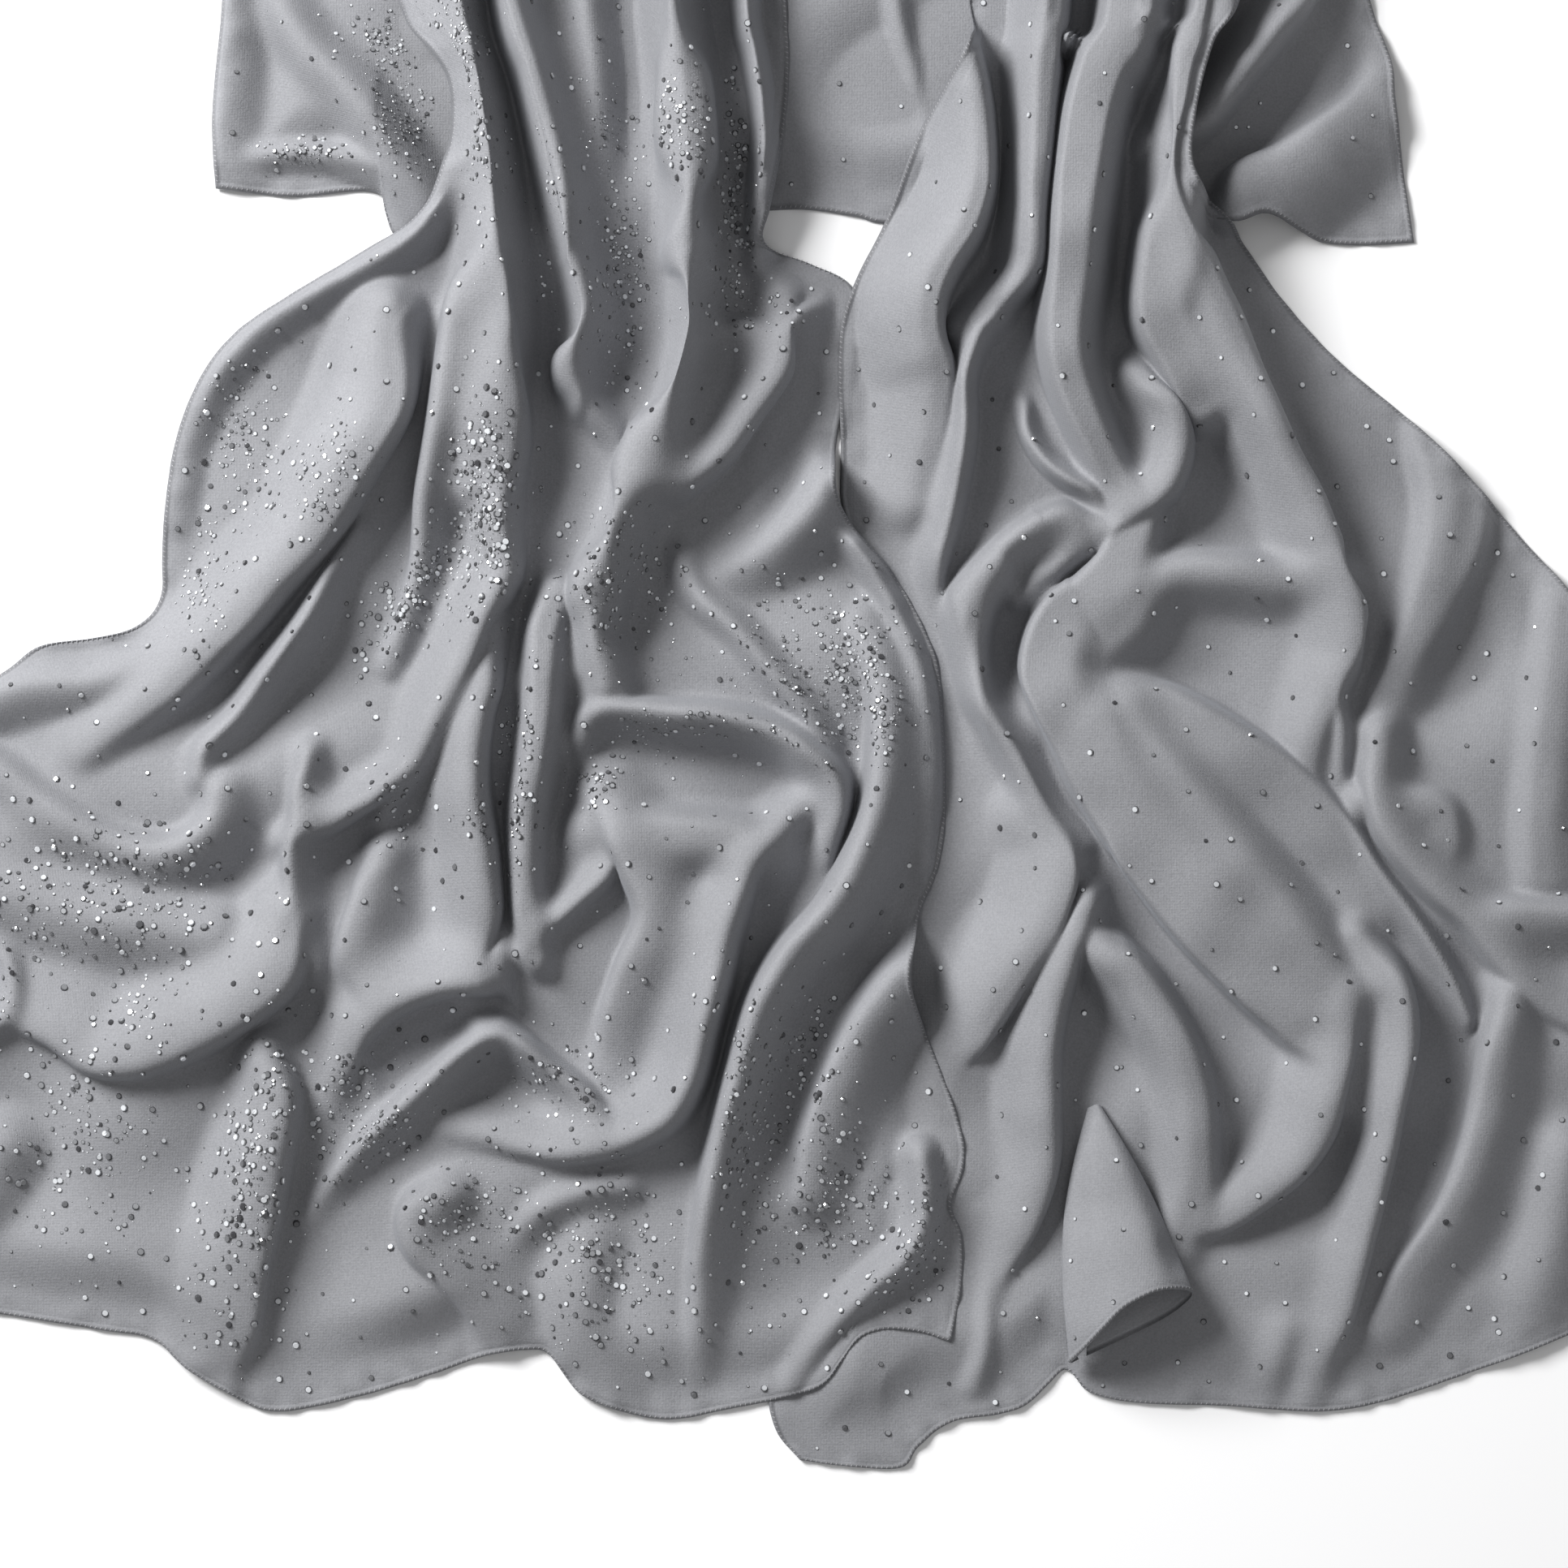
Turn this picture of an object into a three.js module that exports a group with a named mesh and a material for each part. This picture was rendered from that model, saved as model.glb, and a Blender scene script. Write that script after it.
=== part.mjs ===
// A grey chiffon shawl with scattered crystals, spread on a flat surface. Two tails fan out from
// gathered columns over a third stretch of the same cloth and the layers hidden beneath it.
// Millimetres, +Z up, the surface at z = 0.
import * as THREE from 'three';

// Driving dimensions.
const clothWall = 2;
const mostDrop = 3.4;
const hemWidth = 5;
const hemRise = 0.7;
const layerGap = 0.4;
const layerSlope = 14;
const foldBlend = 5;
const pathStep = 4;
const leanReach = 22;
const leastSide = 14;
const endShare = 0.18;
const farEnd = 325;
const rollDepth = 26;

const clothLook = { color: 0x8f8f96, roughness: 0.62, metalness: 0 };
const hiddenLook = { color: 0x7c7c83, roughness: 0.8, metalness: 0 };

// Outline of each stretch, corner to corner, seen from above: x and y. The left and right edges
// run from the near end to the far end, the near and far edges from left to right.
const leftTailEdges = {
  left: [[-342, -258], [-356, -200], [-360, -130], [-345, -75], [-318, -46], [-290, -29],
    [-277, -19], [-258, -16], [-244, -13], [-235, -7], [-231, 2], [-231, 14], [-230, 30], [-226, 56],
    [-217, 80], [-204, 97], [-185, 110], [-165, 122], [-152, 130], [-140, 137], [-131, 146],
    [-126, 160], [-127, 183], [-132, 200], [-141, 215], [-150, 250], [-156, farEnd]],
  right: [[62, -277], [66, -256], [66, -238], [62, -226], [66, -215], [67, -204], [62, -186],
    [52, -160], [48, -140], [50, -120], [57, -102], [60, -84], [60, -60], [58, -30], [52, -12],
    [40, 9], [26, 25], [20, 36], [19, 48], [20, 60], [24, 80], [27, 100], [25, 115], [10, 123],
    [-7, 130], [-5, 143], [0, 170], [2, 195], [1, 219], [-1, 270], [-1, farEnd]],
  near: [[-342, -258], [-320, -263], [-290, -267], [-252, -273], [-238, -275], [-231, -278],
    [-226, -283], [-220, -288], [-208, -295], [-190, -303], [-160, -298], [-130, -289], [-110, -282],
    [-95, -280], [-87, -282], [-76, -296], [-60, -303], [-42, -306], [-20, -302], [0, -298],
    [14, -293], [21, -284], [28, -275], [38, -272], [50, -273], [62, -277]],
  far: [[-156, farEnd], [-1, farEnd]],
};
const rightTailEdges = {
  left: [[6, -321], [-3, -310], [-6, -292], [0, -266], [12, -238], [24, -208], [32, -175],
    [36, -140], [41, -110], [45, -80], [45, -50], [41, -22], [32, 4], [24, 24], [21, 36], [21, 48],
    [21, 60], [20, 80], [21, 100], [27, 118], [38, 140], [50, 172], [62, 200], [67, 212], [64, 240],
    [60, 270], [58, farEnd]],
  right: [[352, -255], [360, -200], [358, -130], [336, -65], [310, -24], [290, 3], [275, 20],
    [250, 48], [230, 67], [205, 88], [185, 110], [168, 134], [152, 153], [152, 175], [158, 200],
    [168, 219], [174, 270], [176, farEnd]],
  near: [[6, -321], [20, -323], [43, -324], [50, -316], [62, -307], [80, -304], [90, -300.5],
    [98, -293], [104, -287.5], [108, -290], [112, -295], [120, -298], [134, -300], [165, -301],
    [198, -303], [220, -300],
    [245, -292], [270, -283], [290, -275], [farEnd, -262], [352, -255]],
  far: [[58, farEnd], [176, farEnd]],
};
const backEdges = {
  left: [[-211, 151], [-212, 180], [-208, 220], [-207, 270], [-200, 318]],
  right: [[234, 131], [229, 165], [226, 195], [220, 213], [212, 240], [204, 275], [200, 318]],
  near: [[-211, 151], [-195, 149], [-180, 148], [-160, 150], [-150, 149], [-148, 142], [-145, 134],
    [-138, 130], [-126, 129], [-80, 134], [-5, 143], [25, 141], [40, 138], [90, 140], [150, 139],
    [168, 137], [180, 138], [190, 135], [200, 131], [215, 130], [234, 131]],
  far: [[-200, 318], [200, 318]],
};

// The open fold near the hem: where it starts, and its mouth from the left foot over the top to the
// tip and back beneath, as x, y, height and how far its side bulges halfway along.
const coneStart = [114, -184];
const coneMouth = [
  [109, -283, 1.5, -2], [105.6, -284.4, 4, -4], [106.5, -283, 8, -5], [111, -277.5, 13, -4],
  [117.5, -269.5, 17, -2], [125, -261.5, 20, 0], [135.5, -256, 21, 3], [144, -255.2, 18, 5],
  [150.5, -257, 12, 6], [148, -261.5, 7, 5], [139.2, -268, 4, 3], [124.2, -275.5, 3, 0],
  [112, -281.5, 2.5, 0],
];
const cone = { around: 20, along: 8, begin: 0.24, reach: 10, wall: 1.6, clear: 0.35 };

// Folds, one row each: the crest as seen from above, point by point, with its height, and how far
// its two sides reach, left and right when going along it. lean moves the crest over its steep
// side, to the right when positive. Two numbers are for the path's start and its end.
const leftTailFolds = [
  { fold: 'first column', left: [20, 15], right: 10, lean: 8,
    path: [[-90, 22, 26], [-90, 55, 31], [-91, 80, 34], [-92, 105, 36], [-95, 130, 38],
      [-98, 150, 39], [-101, 172, 39], [-106, 197, 39], [-111, 219, 38], [-118, 255, 36],
      [-122, farEnd, 34]] },
  { fold: 'left lobe of the first column', left: 9, right: 14, lean: -4,
    path: [[-137, 26, 16], [-136, 40, 22], [-132, 60, 27], [-129, 80, 29], [-126, 100, 30],
      [-123, 120, 28], [-121, 138, 26], [-122, 160, 22], [-129, 190, 20], [-139, 214, 18],
      [-150, farEnd, 14]] },
  { fold: 'body of the first column', left: 24, right: 22, lean: 0,
    path: [[-113, 40, 24], [-110, 70, 31], [-107, 105, 34], [-109, 135, 36], [-112, 160, 37],
      [-118, 190, 36], [-125, 218, 34], [-137, farEnd, 30]] },
  { fold: 'foot of the first column', left: [14, 24], right: 10, lean: [3, 6],
    path: [[-143, -84, 12], [-134, -68, 19], [-124, -48, 25], [-113, -27, 28], [-103, -8, 29],
      [-95, 8, 28], [-91, 26, 27]] },
  { fold: 'second column', left: 8, right: [12, 15], lean: -6,
    path: [[-66, 43, 12], [-78, 60, 20], [-86, 74, 26], [-87, 86, 29], [-83, 94, 31],
      [-79, 102, 32], [-80, 112, 33], [-85, 126, 35], [-86, 142, 36], [-89, 160, 36],
      [-97, 190, 36], [-105, 216, 36], [-112, 250, 34], [-118, farEnd, 32]] },
  { fold: 'body of the second column', left: 12, right: 12, lean: 0,
    path: [[-74, 70, 22], [-72, 95, 29], [-76, 120, 32], [-84, 150, 34], [-93, 190, 35],
      [-101, 218, 35], [-115, farEnd, 31]] },
  { fold: 'plain between the columns', left: 18, right: 18, lean: 0,
    path: [[-64, 118, 4], [-68, 150, 12], [-70, 190, 16], [-74, 230, 18], [-80, farEnd, 16]] },
  { fold: 'third column, left edge', left: 9, right: 16, lean: -5,
    path: [[-72, -42, 20], [-76, -28, 24], [-81, -14, 26], [-84, -2, 28], [-80, 10, 30],
      [-73, 25, 31], [-67, 42, 32], [-60, 58, 33], [-52, 72, 34], [-44, 88, 35], [-43, 100, 35],
      [-45, 112, 36], [-48, 126, 36], [-45, 145, 36], [-49, 160, 36], [-50, 190, 36],
      [-52, 220, 36], [-60, farEnd, 32]] },
  { fold: 'third column, right edge', left: 15, right: 9, lean: 5,
    path: [[-31, 46, 22], [-32, 60, 28], [-29, 80, 32], [-25, 105, 34], [-23, 130, 35],
      [-22, 160, 36], [-24, 190, 36], [-30, 220, 36], [-38, farEnd, 32]] },
  { fold: 'body of the third column', left: 18, right: 17, lean: 0,
    path: [[-67, 5, 26], [-56, 30, 30], [-44, 55, 33], [-36, 85, 35], [-34, 110, 36],
      [-35, 140, 37], [-36, 180, 37], [-41, 220, 36], [-50, farEnd, 32]] },
  { fold: 'swag of the third column', left: 18, right: 9, lean: 5,
    path: [[-62, -30, 16], [-57, -10, 22], [-53, 10, 26], [-50, 26, 28], [-35, 35, 27],
      [-20, 47, 25], [-10, 61, 23], [2, 78, 20], [10, 95, 17], [12, 108, 12]] },
  { fold: 'fourth column', left: 9, right: 9, lean: 0,
    path: [[-10, 122, 10], [-8, 145, 21], [-7, 160, 25], [-8, 180, 27], [-11, 200, 28],
      [-14, 220, 29], [-18, farEnd, 25]] },
  { fold: 'rim of the shoulder', left: 10, right: 14, lean: 0,
    path: [[-226, 30, 5], [-221, 58, 7], [-211, 80, 9], [-196, 97, 11], [-176, 110, 13],
      [-155, 121, 16], [-138, 131, 20], [-128, 143, 24], [-124, 158, 26]] },
  { fold: 'long slope of the shoulder', left: [26, 36], right: [14, 10], lean: [1, 8],
    path: [[-256, -60, 10], [-236, -47, 15], [-215, -31, 19], [-198, -15, 22], [-183, 0, 25],
      [-170, 12, 27], [-160, 25, 29], [-150, 42, 30], [-138, 62, 29], [-131, 80, 27],
      [-127, 98, 22]] },
  { fold: 'second slope', left: 10, right: 13, lean: 0,
    path: [[-216, -68, 18], [-214, -57, 20], [-203, -46, 21], [-190, -28, 22], [-176, -8, 22],
      [-167, 10, 20], [-158, 24, 14]] },
  { fold: 'outer sweep', left: 11, right: 24, lean: -2,
    path: [[-335, -44, 12], [-295, -58, 15], [-272, -74, 17], [-252, -86, 18], [-236, -91, 19],
      [-223, -90, 20], [-215, -82, 20], [-214, -72, 19]] },
  { fold: 'upper left rise', left: 14, right: 22, lean: 0,
    path: [[-310, -44, 8], [-280, -34, 12], [-255, -32, 12], [-234, -26, 9]] },
  { fold: 'lower column', left: [13, 17], right: 8, lean: 6,
    path: [[-104, -147, 12], [-102, -120, 22], [-104, -95, 27], [-108, -72, 29], [-107, -50, 28],
      [-102, -32, 25], [-96, -16, 18]] },
  { fold: 'thin column', left: 8, right: 8, lean: 0,
    path: [[-92, -132, 14], [-96, -115, 19], [-97, -90, 22], [-95, -65, 24], [-93, -45, 24],
      [-90, -25, 22], [-87, -8, 16]] },
  { fold: 'front of the swag', left: 9, right: 24, lean: -3,
    path: [[-77, -166, 8], [-69, -150, 16], [-63, -135, 22], [-57, -122, 25], [-57, -114, 26],
      [-62, -105, 25], [-70, -94, 20], [-78, -80, 14]] },
  { fold: 'top of the cross swag', left: 9, right: 15, lean: -3,
    path: [[-82, -50, 15], [-75, -40, 22], [-62, -38, 26], [-42, -40, 28], [-20, -42, 29],
      [0, -48, 29], [11, -55, 29], [20, -63, 28], [24, -74, 25], [23, -88, 18], [21, -100, 11]] },
  { fold: 'mound of the swag', left: 13, right: 28, lean: 0,
    path: [[-70, -77, 13], [-48, -81, 18], [-25, -83, 19], [-4, -86, 18]] },
  { fold: 'crossing fold', left: 14, right: 12, lean: 0,
    path: [[-38, 14, 8], [-31, -1, 14], [-18, -13, 17], [-5, -28, 18], [8, -44, 16], [15, -55, 12]] },
  { fold: 'right shoulder', left: 15, right: 26, lean: 0,
    path: [[-24, 6, 9], [-6, 17, 16], [8, 30, 20], [17, 44, 20]] },
  { fold: 'long fold to the middle', left: 8, right: [16, 22], lean: -4,
    path: [[-41, -286, 4], [-39, -268, 12], [-36, -250, 18], [-33, -225, 24], [-28, -200, 28],
      [-23, -180, 31], [-16, -155, 33], [-9, -140, 34], [0, -127, 34], [13, -113, 33],
      [23, -95, 31], [29, -76, 29], [31, -55, 25], [28, -35, 18], [20, -15, 10]] },
  { fold: 'great curve', left: 17, right: 9, lean: 5,
    path: [[-125, -209, 8], [-100, -211, 14], [-80, -212, 19], [-62, -209, 23], [-48, -203, 27],
      [-37, -195, 30], [-29, -180, 31], [-24, -160, 32], [-19, -140, 32], [-15, -122, 31],
      [-8, -106, 28], [4, -96, 24], [14, -88, 17]] },
  { fold: 'arch', left: 20, right: 8, lean: 5,
    path: [[-154, -186, 8], [-153, -172, 13], [-147, -162, 17], [-137, -155, 20], [-125, -151, 22],
      [-110, -150, 22], [-99, -146, 20], [-92, -137, 14]] },
  { fold: 'left edge of the arch', left: 7, right: 16, lean: -3,
    path: [[-166, -147, 14], [-168, -135, 18], [-165, -122, 20], [-161, -110, 20], [-160, -96, 16]] },
  { fold: 'fold beside the hollow', left: 7, right: 14, lean: -3,
    path: [[-180, -140, 16], [-183, -120, 20], [-185, -105, 22], [-185, -90, 23], [-182, -75, 23],
      [-182, -58, 20]] },
  { fold: 'lid of the hollow', left: 15, right: 6, lean: 4,
    path: [[-178, -98, 16], [-170, -92, 20], [-160, -84, 22], [-150, -79, 22], [-140, -74, 20]] },
  { fold: 'edge of the broad plain', left: 36, right: 9, lean: 6,
    path: [[-305, -168, 9], [-277, -168, 14], [-258, -180, 18], [-240, -181, 21], [-225, -177, 23],
      [-210, -170, 25], [-195, -161, 27], [-181, -150, 27], [-171, -139, 26], [-166, -126, 22]] },
  { fold: 'broad plain', left: 26, right: 36, lean: 0,
    path: [[-340, -105, 12], [-290, -110, 16], [-250, -120, 18], [-212, -126, 19]] },
  { fold: 'bright skirt fold', left: 26, right: 9, lean: 6,
    path: [[-195, -294, 5], [-191, -275, 12], [-188, -250, 18], [-184, -230, 22], [-181, -212, 24],
      [-178, -195, 25], [-177, -180, 24], [-178, -165, 18]] },
  { fold: 'left skirt', left: 26, right: 26, lean: 0,
    path: [[-335, -252, 4], [-305, -230, 10], [-290, -205, 13]] },
  { fold: 'slanting fold', left: 8, right: 13, lean: -2,
    path: [[-182, -231, 5], [-166, -211, 14], [-151, -195, 19], [-136, -181, 22], [-121, -167, 24],
      [-109, -157, 22]] },
  { fold: 'right side of the peak', left: 20, right: 7, lean: 3,
    path: [[-60, -192, 12], [-70, -183, 17], [-85, -172, 20], [-98, -161, 22], [-108, -155, 20]] },
  { fold: 'roll under the curve', left: 8, right: 15, lean: -5,
    path: [[-118, -281, 5], [-121, -267, 11], [-131, -255, 15], [-142, -246, 19], [-146, -233, 21],
      [-144, -221, 22], [-134, -212, 21], [-121, -207, 16]] },
  { fold: 'mound under the curve', left: 9, right: 16, lean: 0,
    path: [[-102, -240, 6], [-91, -227, 12], [-76, -220, 14], [-58, -217, 12]] },
  { fold: 'middle skirt', left: 26, right: 22, lean: 0,
    path: [[-64, -292, 5], [-74, -264, 11], [-70, -238, 9]] },
  { fold: 'bright triangle', left: 8, right: 30, lean: -3,
    path: [[0, -218, 14], [5, -200, 18], [14, -177, 21], [24, -156, 24], [35, -140, 26],
      [46, -126, 20]] },
  { fold: 'last skirt fold', left: 12, right: 14, lean: 0,
    path: [[3, -291, 5], [16, -272, 12], [32, -256, 17], [46, -243, 19], [52, -226, 20],
      [50, -206, 19]] },
  { fold: 'right margin', left: 10, right: 8, lean: 0,
    path: [[51, -100, 8], [54, -62, 12], [50, -28, 12], [37, 2, 12], [25, 20, 13]] },
];
const rightTailFolds = [
  { fold: 'hemmed column', left: [32, 14], right: 9, lean: 4,
    path: [[62, 36, 11], [64, 60, 16], [64, 82, 23], [59, 96, 29], [59, 108, 33], [64, 120, 35],
      [71, 131, 36], [76, 146, 36], [77, 162, 35], [75, 185, 34], [70, 205, 33], [66, 225, 31],
      [66, farEnd, 27]] },
  { fold: 'second column', left: 18, right: 8, lean: 4,
    path: [[72, 90, 14], [80, 98, 20], [90, 108, 27], [96, 120, 31], [97, 140, 33], [99, 165, 34],
      [101, 190, 34], [104, 220, 34], [108, farEnd, 30]] },
  { fold: 'thin fold', left: 8, right: 9, lean: 0,
    path: [[56, -8, 16], [57, 10, 18], [62, 25, 20], [66, 45, 21], [67, 62, 21], [67, 80, 20],
      [71, 92, 17], [77, 99, 12]] },
  { fold: 'third column', left: 8, right: [14, 24], lean: -4,
    path: [[114, 33, 20], [110, 42, 24], [105, 55, 28], [100, 70, 31], [96, 85, 34], [95, 100, 36],
      [97, 120, 38], [98, 140, 39], [100, 160, 39], [103, 180, 39], [109, 200, 38], [117, 219, 37],
      [124, farEnd, 32]] },
  { fold: 'left edge of the fourth column', left: 8, right: 18, lean: -4,
    path: [[143, 66, 24], [138, 80, 28], [131, 95, 31], [129, 106, 33], [130, 120, 34],
      [133, 140, 35], [137, 160, 36], [139, 190, 36], [143, 206, 36], [148, 222, 35],
      [156, farEnd, 32]] },
  { fold: 'fourth column', left: [20, 22], right: 9, lean: 6,
    path: [[210, -72, 12], [211, -55, 17], [216, -36, 20], [220, -22, 22], [218, -10, 24],
      [214, 4, 25], [209, 17, 26], [202, 36, 28], [194, 52, 29], [186, 68, 31], [177, 86, 33],
      [169, 103, 34], [162, 116, 35], [156, 130, 36], [150, 146, 36], [148, 162, 36],
      [151, 178, 36], [153, 192, 36], [158, 215, 35], [166, farEnd, 31]] },
  { fold: 'hanging loop', left: 20, right: 8, lean: 5,
    path: [[106, -4, 14], [112, 8, 17], [121, 15, 20], [131, 22, 23], [143, 32, 26], [150, 45, 28],
      [152, 60, 28], [148, 75, 27], [141, 87, 22]] },
  { fold: 'band of the S', left: 7, right: 8, lean: 0,
    path: [[58, -12, 18], [66, 0, 21], [77, 11, 22], [90, 21, 22], [103, 29, 21], [112, 34, 19]] },
  { fold: 'great left edge', left: 9, right: 30, lean: -6,
    path: [[199, -191, 14], [191, -178, 19], [180, -163, 23], [165, -148, 26], [150, -133, 28],
      [135, -115, 30], [120, -94, 31], [108, -75, 31], [99, -57, 31], [92, -45, 31], [87, -32, 30],
      [88, -19, 29], [92, -8, 27], [98, 1, 25], [105, 7, 23], [111, 16, 22], [114, 26, 21],
      [114, 37, 18]] },
  { fold: 'inner S fold', left: 7, right: 17, lean: -4,
    path: [[101, -97, 14], [90, -77, 19], [80, -61, 22], [71, -50, 24], [64, -41, 25],
      [59, -29, 25], [56, -17, 25], [56, -5, 22], [60, 7, 17]] },
  { fold: 'tail of the S fold', left: 30, right: 8, lean: 5,
    path: [[60, -190, 8], [75, -170, 14], [85, -155, 19], [95, -140, 23], [105, -125, 26],
      [111, -106, 27], [112, -92, 25], [107, -77, 20]] },
  { fold: 'upper plain', left: 14, right: 13, lean: 0,
    path: [[124, -14, 11], [134, -1, 17], [146, 8, 20], [165, 9, 21], [185, 6, 20], [203, 8, 19]] },
  { fold: 'top edge of the great plain', left: 42, right: 10, lean: 3,
    path: [[228, -106, 12], [214, -86, 16], [192, -64, 20], [176, -53, 22], [160, -43, 23],
      [140, -33, 22], [120, -26, 18]] },
  { fold: 'great plain', left: 34, right: 30, lean: 0,
    path: [[125, -60, 22], [150, -88, 24], [178, -120, 22], [202, -152, 18]] },
  { fold: 'lobe', left: 16, right: 9, lean: 0,
    path: [[206, -68, 12], [206, -50, 17], [203, -32, 19], [210, -18, 19]] },
  { fold: 'edge of the outer plain', left: 8, right: 22, lean: -4,
    path: [[312, -172, 10], [290, -163, 14], [270, -149, 18], [255, -131, 21], [236, -112, 23],
      [218, -91, 24], [211, -72, 23], [209, -52, 20]] },
  { fold: 'shelf', left: 8, right: 11, lean: 0,
    path: [[216, -72, 19], [232, -69, 19], [248, -72, 17], [249, -88, 15], [252, -102, 14]] },
  { fold: 'ledge', left: 7, right: 24, lean: -3,
    path: [[254, -104, 15], [262, -110, 18], [285, -113, 18], [322, -114, 14]] },
  { fold: 'side ridge', left: 10, right: 16, lean: 0,
    path: [[277, -104, 12], [275, -80, 17], [277, -50, 17], [282, -20, 13], [286, 2, 8]] },
  { fold: 'outer band', left: 10, right: 14, lean: 0,
    path: [[219, -38, 12], [226, -20, 18], [231, 10, 20], [236, 38, 17], [228, 68, 9]] },
  { fold: 'thin skirt column', left: 16, right: 8, lean: 5,
    path: [[208, -297, 4], [213, -270, 12], [219, -242, 18], [225, -215, 23], [231, -188, 26],
      [235, -162, 27], [231, -138, 25], [221, -119, 19]] },
  { fold: 'right skirt edge', left: 7, right: 26, lean: -4,
    path: [[214, -263, 7], [226, -245, 12], [240, -225, 16], [248, -205, 19], [253, -185, 21],
      [256, -165, 22], [257, -148, 19]] },
  { fold: 'lower lobe edge', left: 24, right: 9, lean: 5,
    path: [[148, -248, 9], [165, -238, 14], [181, -227, 18], [195, -215, 21], [205, -199, 24],
      [212, -176, 26], [221, -151, 23]] },
  { fold: 'left leg of the arch', left: 20, right: 9, lean: 3,
    path: [[84, -262, 6], [94, -238, 12], [102, -212, 17], [102, -188, 21], [102, -166, 24],
      [106, -146, 26], [113, -130, 27], [120, -119, 25]] },
  { fold: 'right leg of the arch', left: 9, right: 13, lean: -2,
    path: [[152, -238, 10], [154, -214, 15], [153, -188, 19], [149, -167, 22], [140, -150, 25],
      [129, -134, 27], [119, -121, 25]] },
  { fold: 'right skirt mound', left: 26, right: 26, lean: 0,
    path: [[275, -280, 4], [284, -240, 12], [290, -205, 14]] },
  { fold: 'front skirt mound', left: 18, right: 14, lean: 0,
    path: [[178, -298, 3], [186, -272, 9]] },
];
const backFolds = [
  { fold: 'flap ridge', left: 18, right: 20, lean: 0,
    path: [[-133, 146, 14], [-141, 158, 18], [-150, 172, 21], [-162, 188, 22], [-176, 203, 20],
      [-190, 225, 14]] },
  { fold: 'flap edge', left: 10, right: 12, lean: 0,
    path: [[-209, 158, 4], [-208, 190, 6], [-205, 225, 7]] },
  { fold: 'fan edge', left: 8, right: 30, lean: -3,
    path: [[152, 152, 16], [163, 161, 18], [178, 167, 18], [191, 175, 17], [205, 182, 14],
      [213, 190, 9], [218, 206, 5]] },
  { fold: 'fan ridge', left: 12, right: 10, lean: 0,
    path: [[148, 158, 22], [163, 178, 24], [182, 203, 22], [196, 222, 17], [206, 262, 12]] },
];

// Where one stretch lies over another, and between which heights of the plan, in y.
const crossings = [
  { over: 'left_tail', under: 'right_tail', fromY: -330, toY: 50 },
  { over: 'right_tail', under: 'left_tail', fromY: 56, toY: 122 },
];

// A smooth curve through rows of x, y and, where given, height.
function smoothPath(rows, step) {
  const points = rows.map(([x, y, height = 0]) => new THREE.Vector3(x, y, height));
  const path = [];
  const curve = new THREE.CatmullRomCurve3(points, false, 'catmullrom', 0.5);
  const spans = points.length - 1;
  for (let i = 0; i < spans; i += 1) {
    const pieces = Math.max(1, Math.ceil(points[i].distanceTo(points[i + 1]) / step));
    for (let k = 0; k < pieces; k += 1) {
      path.push(curve.getPoint((i + k / pieces) / spans));
    }
  }
  path.push(points[spans].clone());
  return path;
}

// The place on a path nearest to x, y: its distance, side, height and how far along it is.
function nearestOn(path, x, y) {
  let best = { distance: Infinity };
  for (let i = 0; i < path.length - 1; i += 1) {
    const a = path[i];
    const b = path[i + 1];
    const dx = b.x - a.x;
    const dy = b.y - a.y;
    const span = dx * dx + dy * dy || 1e-9;
    const t = THREE.MathUtils.clamp(((x - a.x) * dx + (y - a.y) * dy) / span, 0, 1);
    const offX = x - a.x - t * dx;
    const offY = y - a.y - t * dy;
    const distance = Math.hypot(offX, offY);
    if (distance < best.distance) {
      const length = Math.sqrt(span);
      const side = (offX * dy - offY * dx) / (length * Math.max(distance, 1e-6));
      const height = a.z + (b.z - a.z) * t;
      best = { distance, side, height, along: (i + t) / (path.length - 1), x: dy / length, y: -dx / length };
    }
  }
  return best;
}

// A row's value at a share of its path, given as one number or as those of its start and end.
function valueAt(value, share) {
  return Array.isArray(value) ? value[0] + (value[1] - value[0]) * share : value;
}

// A fold's path, moved back by its lean so that the leant crest comes where the row puts it.
function preparedFold(row) {
  const path = smoothPath(row.path, pathStep);
  const moved = path.map((point, i) => {
    const before = path[Math.max(i - 1, 0)];
    const after = path[Math.min(i + 1, path.length - 1)];
    const run = Math.hypot(after.x - before.x, after.y - before.y) || 1;
    const lean = valueAt(row.lean, i / (path.length - 1));
    const backX = (-(after.y - before.y) / run) * lean;
    const backY = ((after.x - before.x) / run) * lean;
    return new THREE.Vector3(point.x + backX, point.y + backY, point.z);
  });
  return { ...row, path: moved };
}

// Height of all the folds at a place, and how far they push the cloth sideways there.
function foldAt(folds, x, y) {
  let total = 0;
  let pushX = 0;
  let pushY = 0;
  for (const fold of folds) {
    const near = nearestOn(fold.path, x, y);
    const left = Math.max(valueAt(fold.left, near.along), leastSide);
    const right = Math.max(valueAt(fold.right, near.along), leastSide);
    const width = (left + right) / 2 + (near.side * (right - left)) / 2;
    if (near.distance < width) {
      const t = near.distance / width;
      const rise = near.height * (1 - t) ** 2 * (1 + 2 * t);
      const reach = Math.min(near.distance / Math.min(width, leanReach), 1);
      const end = Math.min(near.along, 1 - near.along) / endShare;
      const lean = valueAt(fold.lean, near.along);
      const push = lean * (1 - reach * reach) ** 2 * THREE.MathUtils.smoothstep(end, 0, 1);
      const weight = rise ** foldBlend;
      total += weight;
      pushX += weight * push * near.x;
      pushY += weight * push * near.y;
    }
  }
  const share = Math.max(total, 1e-9);
  return { height: total ** (1 / foldBlend), x: pushX / share, y: pushY / share };
}

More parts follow.
